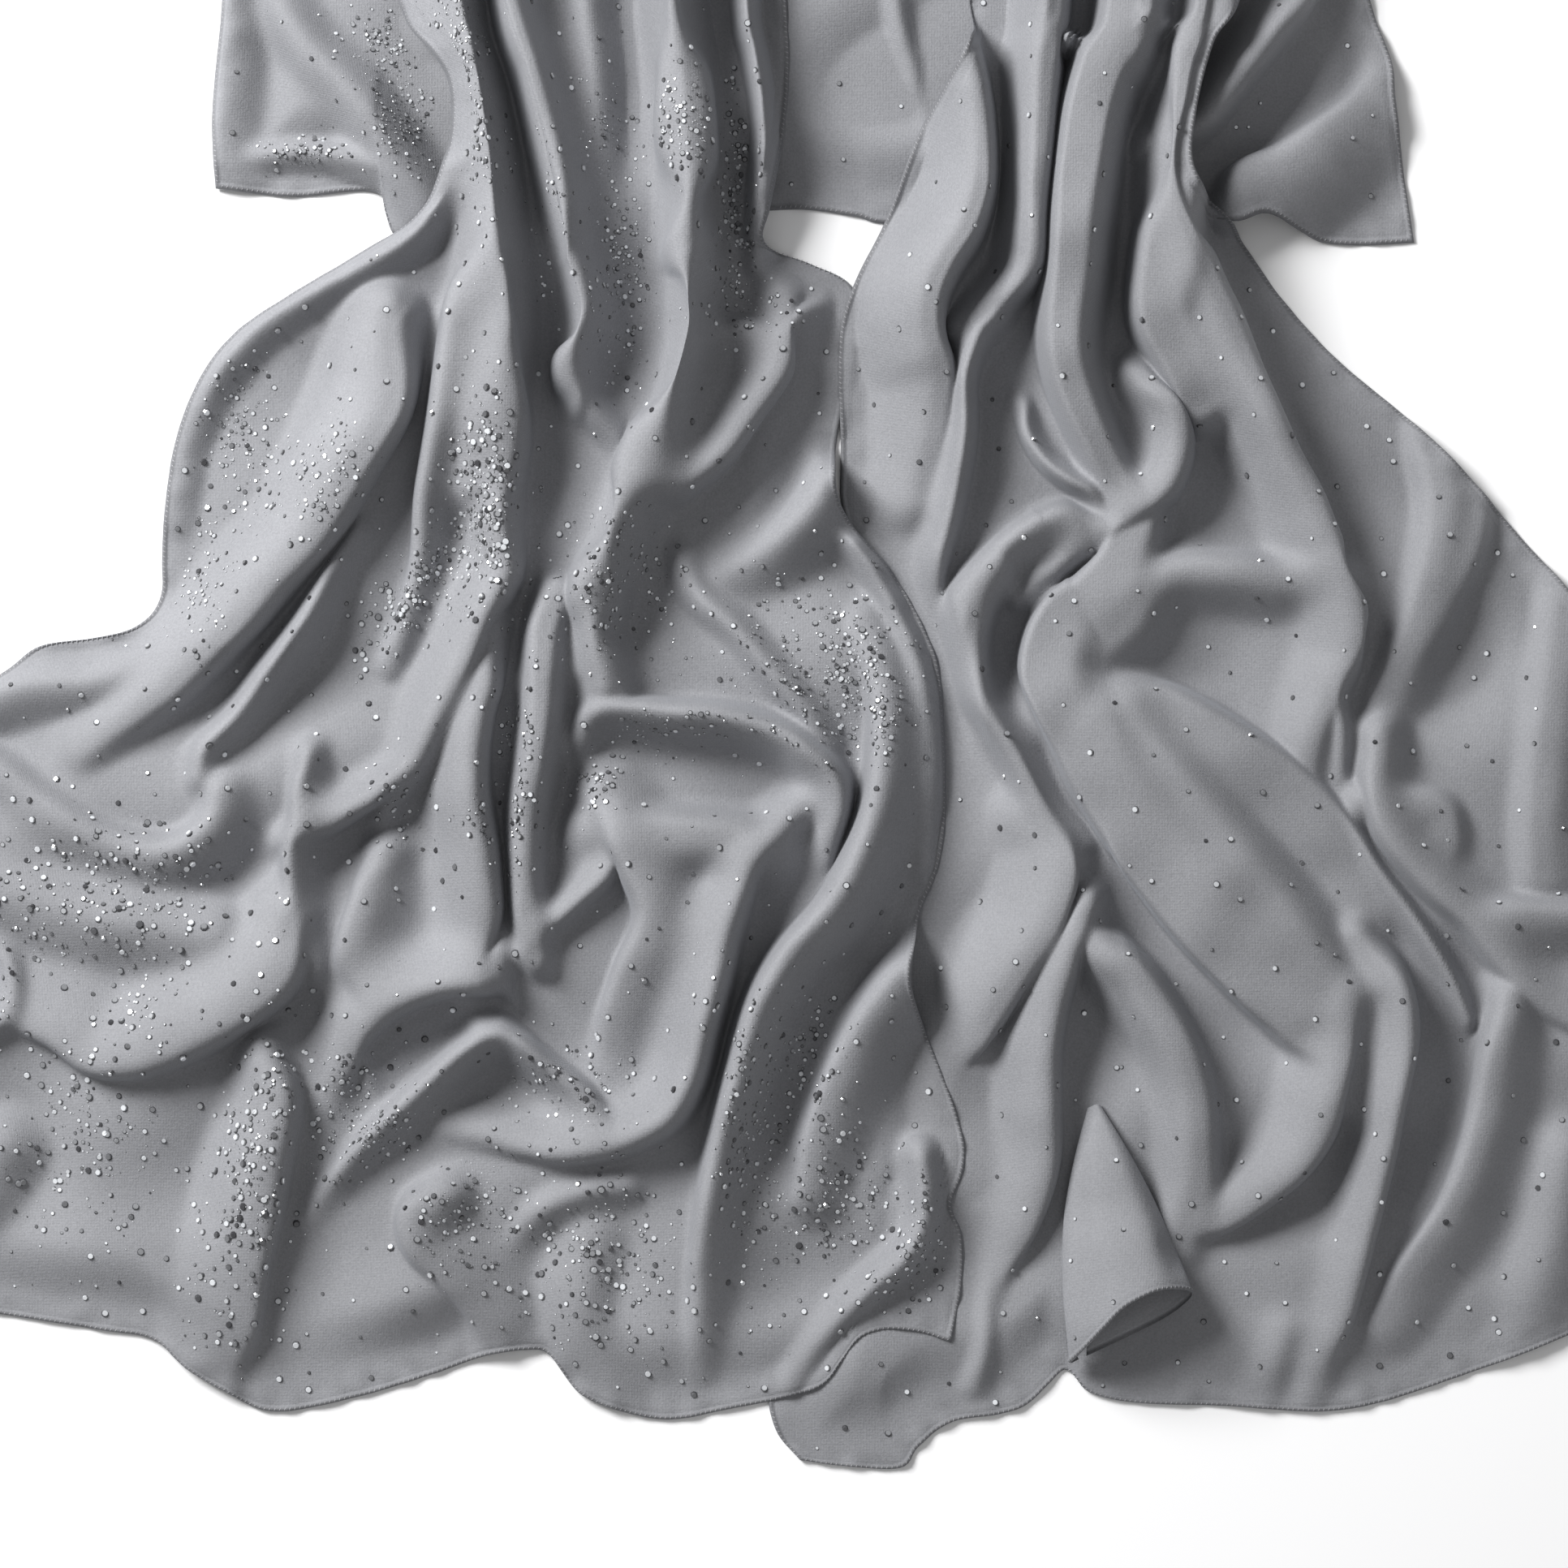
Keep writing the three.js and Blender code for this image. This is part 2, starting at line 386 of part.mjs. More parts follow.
// Distance from x, y to the nearest part of an outline, negative inside it.
function outsideBy(outline, x, y) {
  let inside = false;
  let nearest = Infinity;
  for (let i = 0, k = outline.length - 1; i < outline.length; k = i, i += 1) {
    const a = outline[k];
    const b = outline[i];
    if (a.y > y !== b.y > y && x < ((b.x - a.x) * (y - a.y)) / (b.y - a.y) + a.x) inside = !inside;
    const dx = b.x - a.x;
    const dy = b.y - a.y;
    const span = dx * dx + dy * dy || 1e-9;
    const t = THREE.MathUtils.clamp(((x - a.x) * dx + (y - a.y) * dy) / span, 0, 1);
    nearest = Math.min(nearest, Math.hypot(x - a.x - t * dx, y - a.y - t * dy));
  }
  return inside ? -nearest : nearest;
}

function outlineOf(edges) {
  return [
    ...smoothPath(edges.near, 8),
    ...smoothPath(edges.right, 8),
    ...smoothPath(edges.far, 8).reverse(),
    ...smoothPath(edges.left, 8).reverse(),
  ];
}

// A curve that can be asked for its point at any share of its length.
function evenCurve(rows) {
  const path = smoothPath(rows, 3);
  const runs = [0];
  for (let i = 1; i < path.length; i += 1) {
    runs.push(runs[i - 1] + Math.hypot(path[i].x - path[i - 1].x, path[i].y - path[i - 1].y));
  }
  return (share) => {
    const run = share * runs[runs.length - 1];
    let i = 1;
    while (i < runs.length - 1 && runs[i] < run) i += 1;
    const t = (run - runs[i - 1]) / (runs[i] - runs[i - 1]);
    return path[i - 1].clone().lerp(path[i], THREE.MathUtils.clamp(t, 0, 1));
  };
}

// Shares from 0 to 1 with the two lines of a hem beside each hemmed end.
function hemmedShares(count, length, hemAtStart, hemAtEnd) {
  const hem = [0, hemWidth / length, (hemWidth + 1.6) / length];
  const start = hemAtStart ? hem : [0];
  const end = hemAtEnd ? hem.map((share) => 1 - share).reverse() : [1];
  const from = start[start.length - 1];
  const to = end[0];
  const between = [];
  for (let i = 1; i < count; i += 1) between.push(from + ((to - from) * i) / count);
  return [...start, ...between, ...end];
}

// The plan of a stretch: rows of points between its four edges.
function planOf(stretch) {
  const [left, right, near, far] = ['left', 'right', 'near', 'far'].map((k) => evenCurve(stretch.edges[k]));
  const length = left(0).distanceTo(left(1)) + 60;
  const alongShares = hemmedShares(stretch.along, length, true, false);
  const rows = [];
  for (const v of alongShares) {
    const a = left(v);
    const b = right(v);
    const acrossShares = hemmedShares(stretch.across, a.distanceTo(b), stretch.sideHems, stretch.sideHems);
    const row = acrossShares.map((u) => {
      const point = a.clone().lerp(b, u).add(near(u).lerp(far(u), v));
      const bottom = near(0).lerp(near(1), u);
      const top = far(0).lerp(far(1), u);
      return point.sub(bottom.lerp(top, v));
    });
    rows.push(row);
  }
  return rows;
}

// A rounded turn down at the far end, where the cloth rolls under itself.
function rollDown(y, end) {
  const past = THREE.MathUtils.clamp((y - (end - rollDepth)) / rollDepth, 0, 1);
  return Math.sqrt(1 - past * past * 0.97);
}

// Signed area of each cell around a point keeps the sideways push from turning the cloth over.
function easePushes(rows, pushes) {
  const moved = (i, k) => ({ x: rows[i][k].x + pushes[i][k].x, y: rows[i][k].y + pushes[i][k].y });
  const corner = (a, b, c) => (b.x - a.x) * (c.y - a.y) - (b.y - a.y) * (c.x - a.x);
  for (let pass = 0; pass < 12; pass += 1) {
    let tight = 0;
    for (let i = 0; i < rows.length - 1; i += 1) {
      for (let k = 0; k < rows[i].length - 1; k += 1) {
        const [a, b, c, d] = [[i, k], [i, k + 1], [i + 1, k + 1], [i + 1, k]];
        const [pa, pb, pc, pd] = [a, b, c, d].map(([r, s]) => moved(r, s));
        const [qa, qb, qc, qd] = [a, b, c, d].map(([r, s]) => rows[r][s]);
        const least = 0.12 * Math.min(corner(qa, qb, qc), corner(qa, qc, qd));
        if (Math.min(corner(pa, pb, pc), corner(pa, pc, pd)) < least) {
          for (const [r, s] of [a, b, c, d]) {
            pushes[r][s].x *= 0.6;
            pushes[r][s].y *= 0.6;
          }
          tight += 1;
        }
      }
    }
    if (tight === 0) break;
  }
}

// The lowest that a stretch may lie, over what is beneath it.
function restAt(layers, reach, x, y) {
  let rest = 0;
  for (const point of layers) {
    const distance = Math.hypot(point.x - x, point.y - y);
    if (distance < reach + layerSlope) {
      const fade = 1 - Math.max(distance - reach, 0) / layerSlope;
      rest = Math.max(rest, (point.z + layerGap) * fade * fade * (3 - 2 * fade));
    }
  }
  return rest;
}

// Places on a finished stretch that another one covers, close enough together to miss nothing.
function coveredPoints(top, outline, fromY, toY) {
  const covered = [];
  const parts = 3;
  for (let i = 0; i < top.length - 1; i += 1) {
    for (let k = 0; k < top[i].length - 1; k += 1) {
      for (let m = 0; m < parts; m += 1) {
        for (let n = 0; n < parts; n += 1) {
          const low = top[i][k].clone().lerp(top[i][k + 1], n / parts);
          const high = top[i + 1][k].clone().lerp(top[i + 1][k + 1], n / parts);
          const point = low.lerp(high, m / parts);
          const between = point.y > fromY && point.y < toY;
          if (between && outsideBy(outline, point.x, point.y) < 3) covered.push(point);
        }
      }
    }
  }
  return covered;
}

// The upper face of a stretch: its plan raised by its folds and by what lies beneath.
function topOf(stretch, layers) {
  const folds = stretch.folds.map(preparedFold);
  const rows = planOf(stretch);
  const last = rows[0].length - 1;
  const fields = rows.map((row) => row.map((point) => foldAt(folds, point.x, point.y)));
  for (const [i, row] of rows.entries()) {
    for (const [k, point] of row.entries()) {
      for (const press of stretch.presses) {
        const inRange = THREE.MathUtils.smoothstep(point.y, press.fromY - 12, press.fromY)
          * (1 - THREE.MathUtils.smoothstep(point.y, press.toY, press.toY + 12));
        const free = THREE.MathUtils.smoothstep(outsideBy(press.outline, point.x, point.y), 0, 16);
        const keep = 1 - inRange * (1 - free);
        fields[i][k].height *= keep;
        fields[i][k].x *= keep;
        fields[i][k].y *= keep;
      }
    }
  }
  easePushes(rows, fields);
  return rows.map((row, i) => row.map((point, k) => {
    const field = fields[i][k];
    const x = point.x + field.x;
    const y = point.y + field.y;
    const own = (stretch.base ** 4 + (field.height * rollDown(y, stretch.end)) ** 4) ** 0.25;
    const inHem = i < 2 || (stretch.sideHems && (k < 2 || k > last - 2));
    const rest = restAt(layers, stretch.reach, x, y);
    const z = Math.max(own, rest + clothWall * 1.05) + (inHem ? hemRise : 0);
    const point3 = new THREE.Vector3(x, y, z);
    point3.rest = rest;
    return point3;
  }));
}

// How far below the upper face the lower face lies, more where the cloth is steep.
function dropAt(top, i, k) {
  const before = top[i][Math.max(k - 1, 0)];
  const after = top[i][Math.min(k + 1, top[i].length - 1)];
  const below = top[Math.max(i - 1, 0)][k];
  const above = top[Math.min(i + 1, top.length - 1)][k];
  const normal = after.clone().sub(before).cross(above.clone().sub(below)).normalize();
  return Math.min(clothWall / Math.max(normal.z, 0.3), mostDrop);
}

// The lower face of a stretch, which lies on what is beneath it.
function undersideOf(top) {
  return top.map((row, i) => row.map((point, k) => {
    const z = Math.max(point.z - dropAt(top, i, k), point.rest);
    return new THREE.Vector3(point.x, point.y, z);
  }));
}

// The outer face of the open fold, from its mouth to where it starts.
function coneFace(layers) {
  const curve = new THREE.CatmullRomCurve3(
    coneMouth.map(([x, y, height]) => new THREE.Vector3(x, y, height)), false, 'catmullrom', 0.5);
  const rows = [];
  for (let i = 0; i <= cone.along; i += 1) {
    const share = 1 - ((1 - cone.begin) * i) / cone.along;
    const row = [];
    for (let k = 0; k <= cone.around; k += 1) {
      const turn = k / cone.around;
      const mouth = curve.getPoint(turn);
      const place = turn * (coneMouth.length - 1);
      const before = coneMouth[Math.floor(place)];
      const after = coneMouth[Math.ceil(place)];
      const bulge = THREE.MathUtils.lerp(before[3], after[3], place % 1) * Math.sin(Math.PI * share);
      const x = THREE.MathUtils.lerp(coneStart[0], mouth.x, share) + bulge;
      const y = THREE.MathUtils.lerp(coneStart[1], mouth.y, share);
      const rest = restAt(layers, cone.reach, x, y);
      row.push(new THREE.Vector3(x, y, rest + cone.clear + mouth.z * share ** 0.75));
    }
    rows.push(row);
  }
  return rows;
}

// The inner face of the open fold, one wall inside its outer face.
function insideOf(face) {
  const at = (i, k) => face[Math.min(Math.max(i, 0), face.length - 1)][
    Math.min(Math.max(k, 0), face[0].length - 1)];
  return face.map((row, i) => row.map((point, k) => {
    const across = at(i, k + 1).clone().sub(at(i, k - 1));
    const along = at(i + 1, k).clone().sub(at(i - 1, k));
    const inward = along.cross(across).normalize();
    const wall = cone.wall * (1 - (0.4 * i) / (face.length - 1));
    return point.clone().addScaledVector(inward, wall);
  }));
}

// A closed wall between an upper or outer face and the one beneath or inside it.
function wallGeometry(top, bottom) {
  const rows = top.length;
  const columns = top[0].length;
  const positions = [...top.flat(), ...bottom.flat()].flatMap((point) => [point.x, point.y, point.z]);
  const index = [];
  const under = rows * columns;
  const quad = (a, b, c, d) => index.push(a, b, c, a, c, d);
  const cell = (a, b, c, d) => {
    quad(a, b, c, d);
    index.push(under + a, under + c, under + b, under + a, under + d, under + c);
  };
  for (let i = 0; i < rows - 1; i += 1) {
    for (let k = 0; k < columns - 1; k += 1) {
      const a = i * columns + k;
      const [b, c, d] = [a + 1, a + columns + 1, a + columns];
      const rising = Math.abs(top[i][k].z - top[i + 1][k + 1].z);
      const falling = Math.abs(top[i][k + 1].z - top[i + 1][k].z);
      if (rising < falling) cell(a, b, c, d);
      else cell(b, c, d, a);
    }
  }
  const rim = [];
  for (let k = 0; k < columns - 1; k += 1) rim.push(k);
  for (let i = 0; i < rows - 1; i += 1) rim.push(i * columns + columns - 1);
  for (let k = columns - 1; k > 0; k -= 1) rim.push((rows - 1) * columns + k);
  for (let i = rows - 1; i > 0; i -= 1) rim.push(i * columns);
  for (const [n, a] of rim.entries()) {
    const b = rim[(n + 1) % rim.length];
    quad(under + a, under + b, b, a);
  }
  const geometry = new THREE.BufferGeometry();
  geometry.setAttribute('position', new THREE.Float32BufferAttribute(positions, 3));
  geometry.setIndex(index);
  geometry.computeVertexNormals();
  return geometry;
}

// The layers that nothing shows, as one low rounded solid with the edges of its layers.
function hiddenGeometry({ halfLength, halfWidth, layers, layerHeight, inset }) {
  const profile = [new THREE.Vector2(0, 0)];
  const steps = 3;
  for (let layer = 0; layer < layers; layer += 1) {
    const reach = 1 - layer * inset;
    for (let i = 0; i <= steps; i += 1) {
      const angle = (Math.PI * i) / steps;
      const bulge = Math.sin(angle) * 0.012;
      const z = layerHeight * (layer + (1 - Math.cos(angle)) / 2);
      if (layer === 0 || i > 0) profile.push(new THREE.Vector2(reach + bulge, z));
    }
  }
  profile.push(new THREE.Vector2(0, layers * layerHeight));
  const geometry = new THREE.LatheGeometry(profile, 32);
  geometry.rotateX(Math.PI / 2);
  geometry.scale(halfLength, halfWidth, 1);
  return geometry;
}

const hiddenLayers = { halfLength: 150, halfWidth: 62, layers: 3, layerHeight: 1.7, inset: 0.05 };
const hiddenPlace = { x: 0, y: 236 };

function cloth(name, top, bottom) {
  const mesh = new THREE.Mesh(wallGeometry(top, bottom), new THREE.MeshStandardMaterial(clothLook));
  mesh.name = name;
  return mesh;
}

const outlines = {
  left_tail: outlineOf(leftTailEdges),
  right_tail: outlineOf(rightTailEdges),
};

// How each tail is pressed down where the other one covers it.
function pressesFor(name) {
  return crossings
    .filter((crossing) => crossing.under === name)
    .map((crossing) => ({ ...crossing, outline: outlines[crossing.over] }));
}

const back = { edges: backEdges, folds: backFolds, across: 30, along: 9, base: 2.6, end: 318,
  reach: 20, sideHems: true, presses: [] };
const leftTail = { edges: leftTailEdges, folds: leftTailFolds, across: 30, along: 48, base: 2.6,
  end: farEnd, reach: 20, sideHems: true, presses: pressesFor('left_tail') };
const rightTail = { edges: rightTailEdges, folds: rightTailFolds, across: 27, along: 48, base: 2.6,
  end: farEnd, reach: 20, sideHems: true, presses: pressesFor('right_tail') };

const hidden = new THREE.Mesh(hiddenGeometry(hiddenLayers), new THREE.MeshStandardMaterial(hiddenLook));
hidden.name = 'hidden_layers';
hidden.position.set(hiddenPlace.x, hiddenPlace.y, 0);

function hiddenTopPoints() {
  const points = [];
  const spacing = 6;
  const { halfLength, halfWidth, layers, layerHeight } = hiddenLayers;
  for (let x = -halfLength - spacing; x <= halfLength + spacing; x += spacing) {
    for (let y = -halfWidth - spacing; y <= halfWidth + spacing; y += spacing) {
      if (Math.hypot(x / (halfLength + 3), y / (halfWidth + 3)) < 1.02) {
        points.push(new THREE.Vector3(hiddenPlace.x + x, hiddenPlace.y + y, layers * layerHeight));
      }
    }
  }
  return points;
}

function crossingPoints(top, over, under) {
  const rule = crossings.find((crossing) => crossing.over === over && crossing.under === under);
  return coveredPoints(top, outlines[over], rule.fromY, rule.toY);
}

const backTop = topOf(back, hiddenTopPoints());
const overBack = (name) => coveredPoints(backTop, outlines[name], 0, 400);

// The left tail's short inner edge is shaped before the right tail that covers it there.
const rightUnder = topOf(rightTail, overBack('right_tail'));
const leftTop = topOf(leftTail, [...overBack('left_tail'),
  ...crossingPoints(rightUnder, 'left_tail', 'right_tail')]);
const rightTop = topOf(rightTail, [...overBack('right_tail'),
  ...crossingPoints(leftTop, 'right_tail', 'left_tail')]);
const coneOutline = [[...coneStart, 0], ...coneMouth.slice(1, 11)].map(([x, y]) => ({ x, y }));
const coneOuter = coneFace(coveredPoints(rightTop, coneOutline, -400, 400));

const shawl = new THREE.Group();
shawl.name = 'shawl';
shawl.add(hidden, cloth('back_stretch', backTop, undersideOf(backTop)),
  cloth('left_tail', leftTop, undersideOf(leftTop)),
  cloth('right_tail', rightTop, undersideOf(rightTop)),
  cloth('cone_fold', coneOuter, insideOf(coneOuter)));

export default shawl;
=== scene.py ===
import math

import bpy
import numpy as np
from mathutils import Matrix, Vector, kdtree


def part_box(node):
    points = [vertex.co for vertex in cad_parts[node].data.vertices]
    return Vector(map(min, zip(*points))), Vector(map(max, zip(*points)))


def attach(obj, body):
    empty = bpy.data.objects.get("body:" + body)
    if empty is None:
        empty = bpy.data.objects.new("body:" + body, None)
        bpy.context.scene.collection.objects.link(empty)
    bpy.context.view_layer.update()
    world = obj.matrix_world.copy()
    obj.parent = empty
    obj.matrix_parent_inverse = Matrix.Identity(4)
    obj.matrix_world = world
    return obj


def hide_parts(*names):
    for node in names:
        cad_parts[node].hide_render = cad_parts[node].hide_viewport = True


# The shawl is drawn in millimetres in the tables and functions below, and each mesh is scaled to
# metres as it is made.
mm = 0.001

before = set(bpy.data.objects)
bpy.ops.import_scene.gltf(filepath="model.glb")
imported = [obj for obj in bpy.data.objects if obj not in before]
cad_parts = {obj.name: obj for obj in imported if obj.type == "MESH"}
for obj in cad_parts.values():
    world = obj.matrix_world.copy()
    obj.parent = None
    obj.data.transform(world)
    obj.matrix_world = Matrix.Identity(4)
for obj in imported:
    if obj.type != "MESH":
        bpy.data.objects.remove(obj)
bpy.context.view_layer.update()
body = "root"
farEnd = 325
backEnd = 318

# Outline of each stretch seen from above, as in the CAD: x and y. The left and right edges run
# from the near end to the far end, the near and far edges from left to right.
leftTailEdges = dict(
    left=[(-342, -258), (-356, -200), (-360, -130), (-345, -75), (-318, -46), (-290, -29),
        (-277, -19),
        (-258, -16), (-244, -13), (-235, -7), (-231, 2), (-231, 14), (-230, 30), (-226, 56),
        (-217, 80),
        (-204, 97), (-185, 110), (-165, 122), (-152, 130), (-140, 137), (-131, 146), (-126, 160),
        (-127, 183), (-132, 200), (-141, 215), (-150, 250), (-156, farEnd)],
    right=[(62, -277), (66, -256), (66, -238), (62, -226), (66, -215), (67, -204), (62, -186),
        (52, -160), (48, -140), (50, -120), (57, -102), (60, -84), (60, -60), (58, -30), (52, -12),
        (40, 9), (26, 25), (20, 36), (19, 48), (20, 60), (24, 80), (27, 100), (25, 115), (10, 123),
        (-7, 130), (-5, 143), (0, 170), (2, 195), (1, 219), (-1, 270), (-1, farEnd)],
    near=[(-342, -258), (-320, -263), (-290, -267), (-252, -273), (-238, -275), (-231, -278),
        (-226, -283), (-220, -288), (-208, -295), (-190, -303), (-160, -298), (-130, -289),
        (-110, -282), (-95, -280), (-87, -282),
        (-76, -296), (-60, -303), (-42, -306), (-20, -302), (0, -298), (14, -293), (21, -284),
        (28, -275), (38, -272), (50, -273), (62, -277)],
    far=[(-156, farEnd), (-1, farEnd)],
)
rightTailEdges = dict(
    left=[(6, -321), (-3, -310), (-6, -292), (0, -266), (12, -238), (24, -208), (32, -175),
        (36, -140),
        (41, -110), (45, -80), (45, -50), (41, -22), (32, 4), (24, 24), (21, 36), (21, 48),
        (21, 60),
        (20, 80), (21, 100), (27, 118), (38, 140), (50, 172), (62, 200), (67, 212), (64, 240),
        (60, 270), (58, farEnd)],
    right=[(352, -255), (360, -200), (358, -130), (336, -65), (310, -24), (290, 3), (275, 20),
        (250, 48), (230, 67), (205, 88), (185, 110), (168, 134), (152, 153), (152, 175), (158, 200),
        (168, 219), (174, 270), (176, farEnd)],
    near=[(6, -321), (20, -323), (43, -324), (50, -316), (62, -307), (80, -304), (90, -300.5),
        (98, -293), (104, -287.5), (108, -290), (112, -295), (120, -298), (134, -300),
        (165, -301), (198, -303), (220, -300),
        (245, -292), (270, -283), (290, -275), (325, -262), (352, -255)],
    far=[(58, farEnd), (176, farEnd)],
)
backEdges = dict(
    left=[(-211, 151), (-212, 180), (-208, 220), (-207, 270), (-200, backEnd)],
    right=[(234, 131), (229, 165), (226, 195), (220, 213), (212, 240), (204, 275), (200, backEnd)],
    near=[(-211, 151), (-195, 149), (-180, 148), (-160, 150), (-150, 149), (-148, 142), (-145, 134),
        (-138, 130), (-126, 129), (-80, 134),
        (-5, 143), (25, 141), (40, 138), (90, 140), (150, 139), (168, 137), (180, 138), (190, 135),
        (200, 131), (215, 130), (234, 131)],
    far=[(-200, backEnd), (200, backEnd)],
)
# The open fold near the hem: where it starts, and its mouth from the left foot over the top to the
# tip and back beneath, as x, y, height and how far its side bulges halfway along.
coneStart = (114, -184)
coneMouth = [
    (109, -283, 1.5, -4), (105.6, -284.4, 4, -6), (106.5, -283, 8, -7), (111, -277.5, 13, -6),
    (117.5, -269.5, 17, -3), (125, -261.5, 20, -1), (135.5, -256, 21, 1.5), (144, -255.2, 18, 2.5),
    (150.5, -257, 12, 3), (148, -261.5, 7, 2.5), (139.2, -268, 4, 1.5), (124.2, -275.5, 3, 0),
    (112, -281.5, 2.5, 0),
]


def fold(left, right, lean, path, **more):
    return dict(left=left, right=right, lean=lean, path=path, **more)


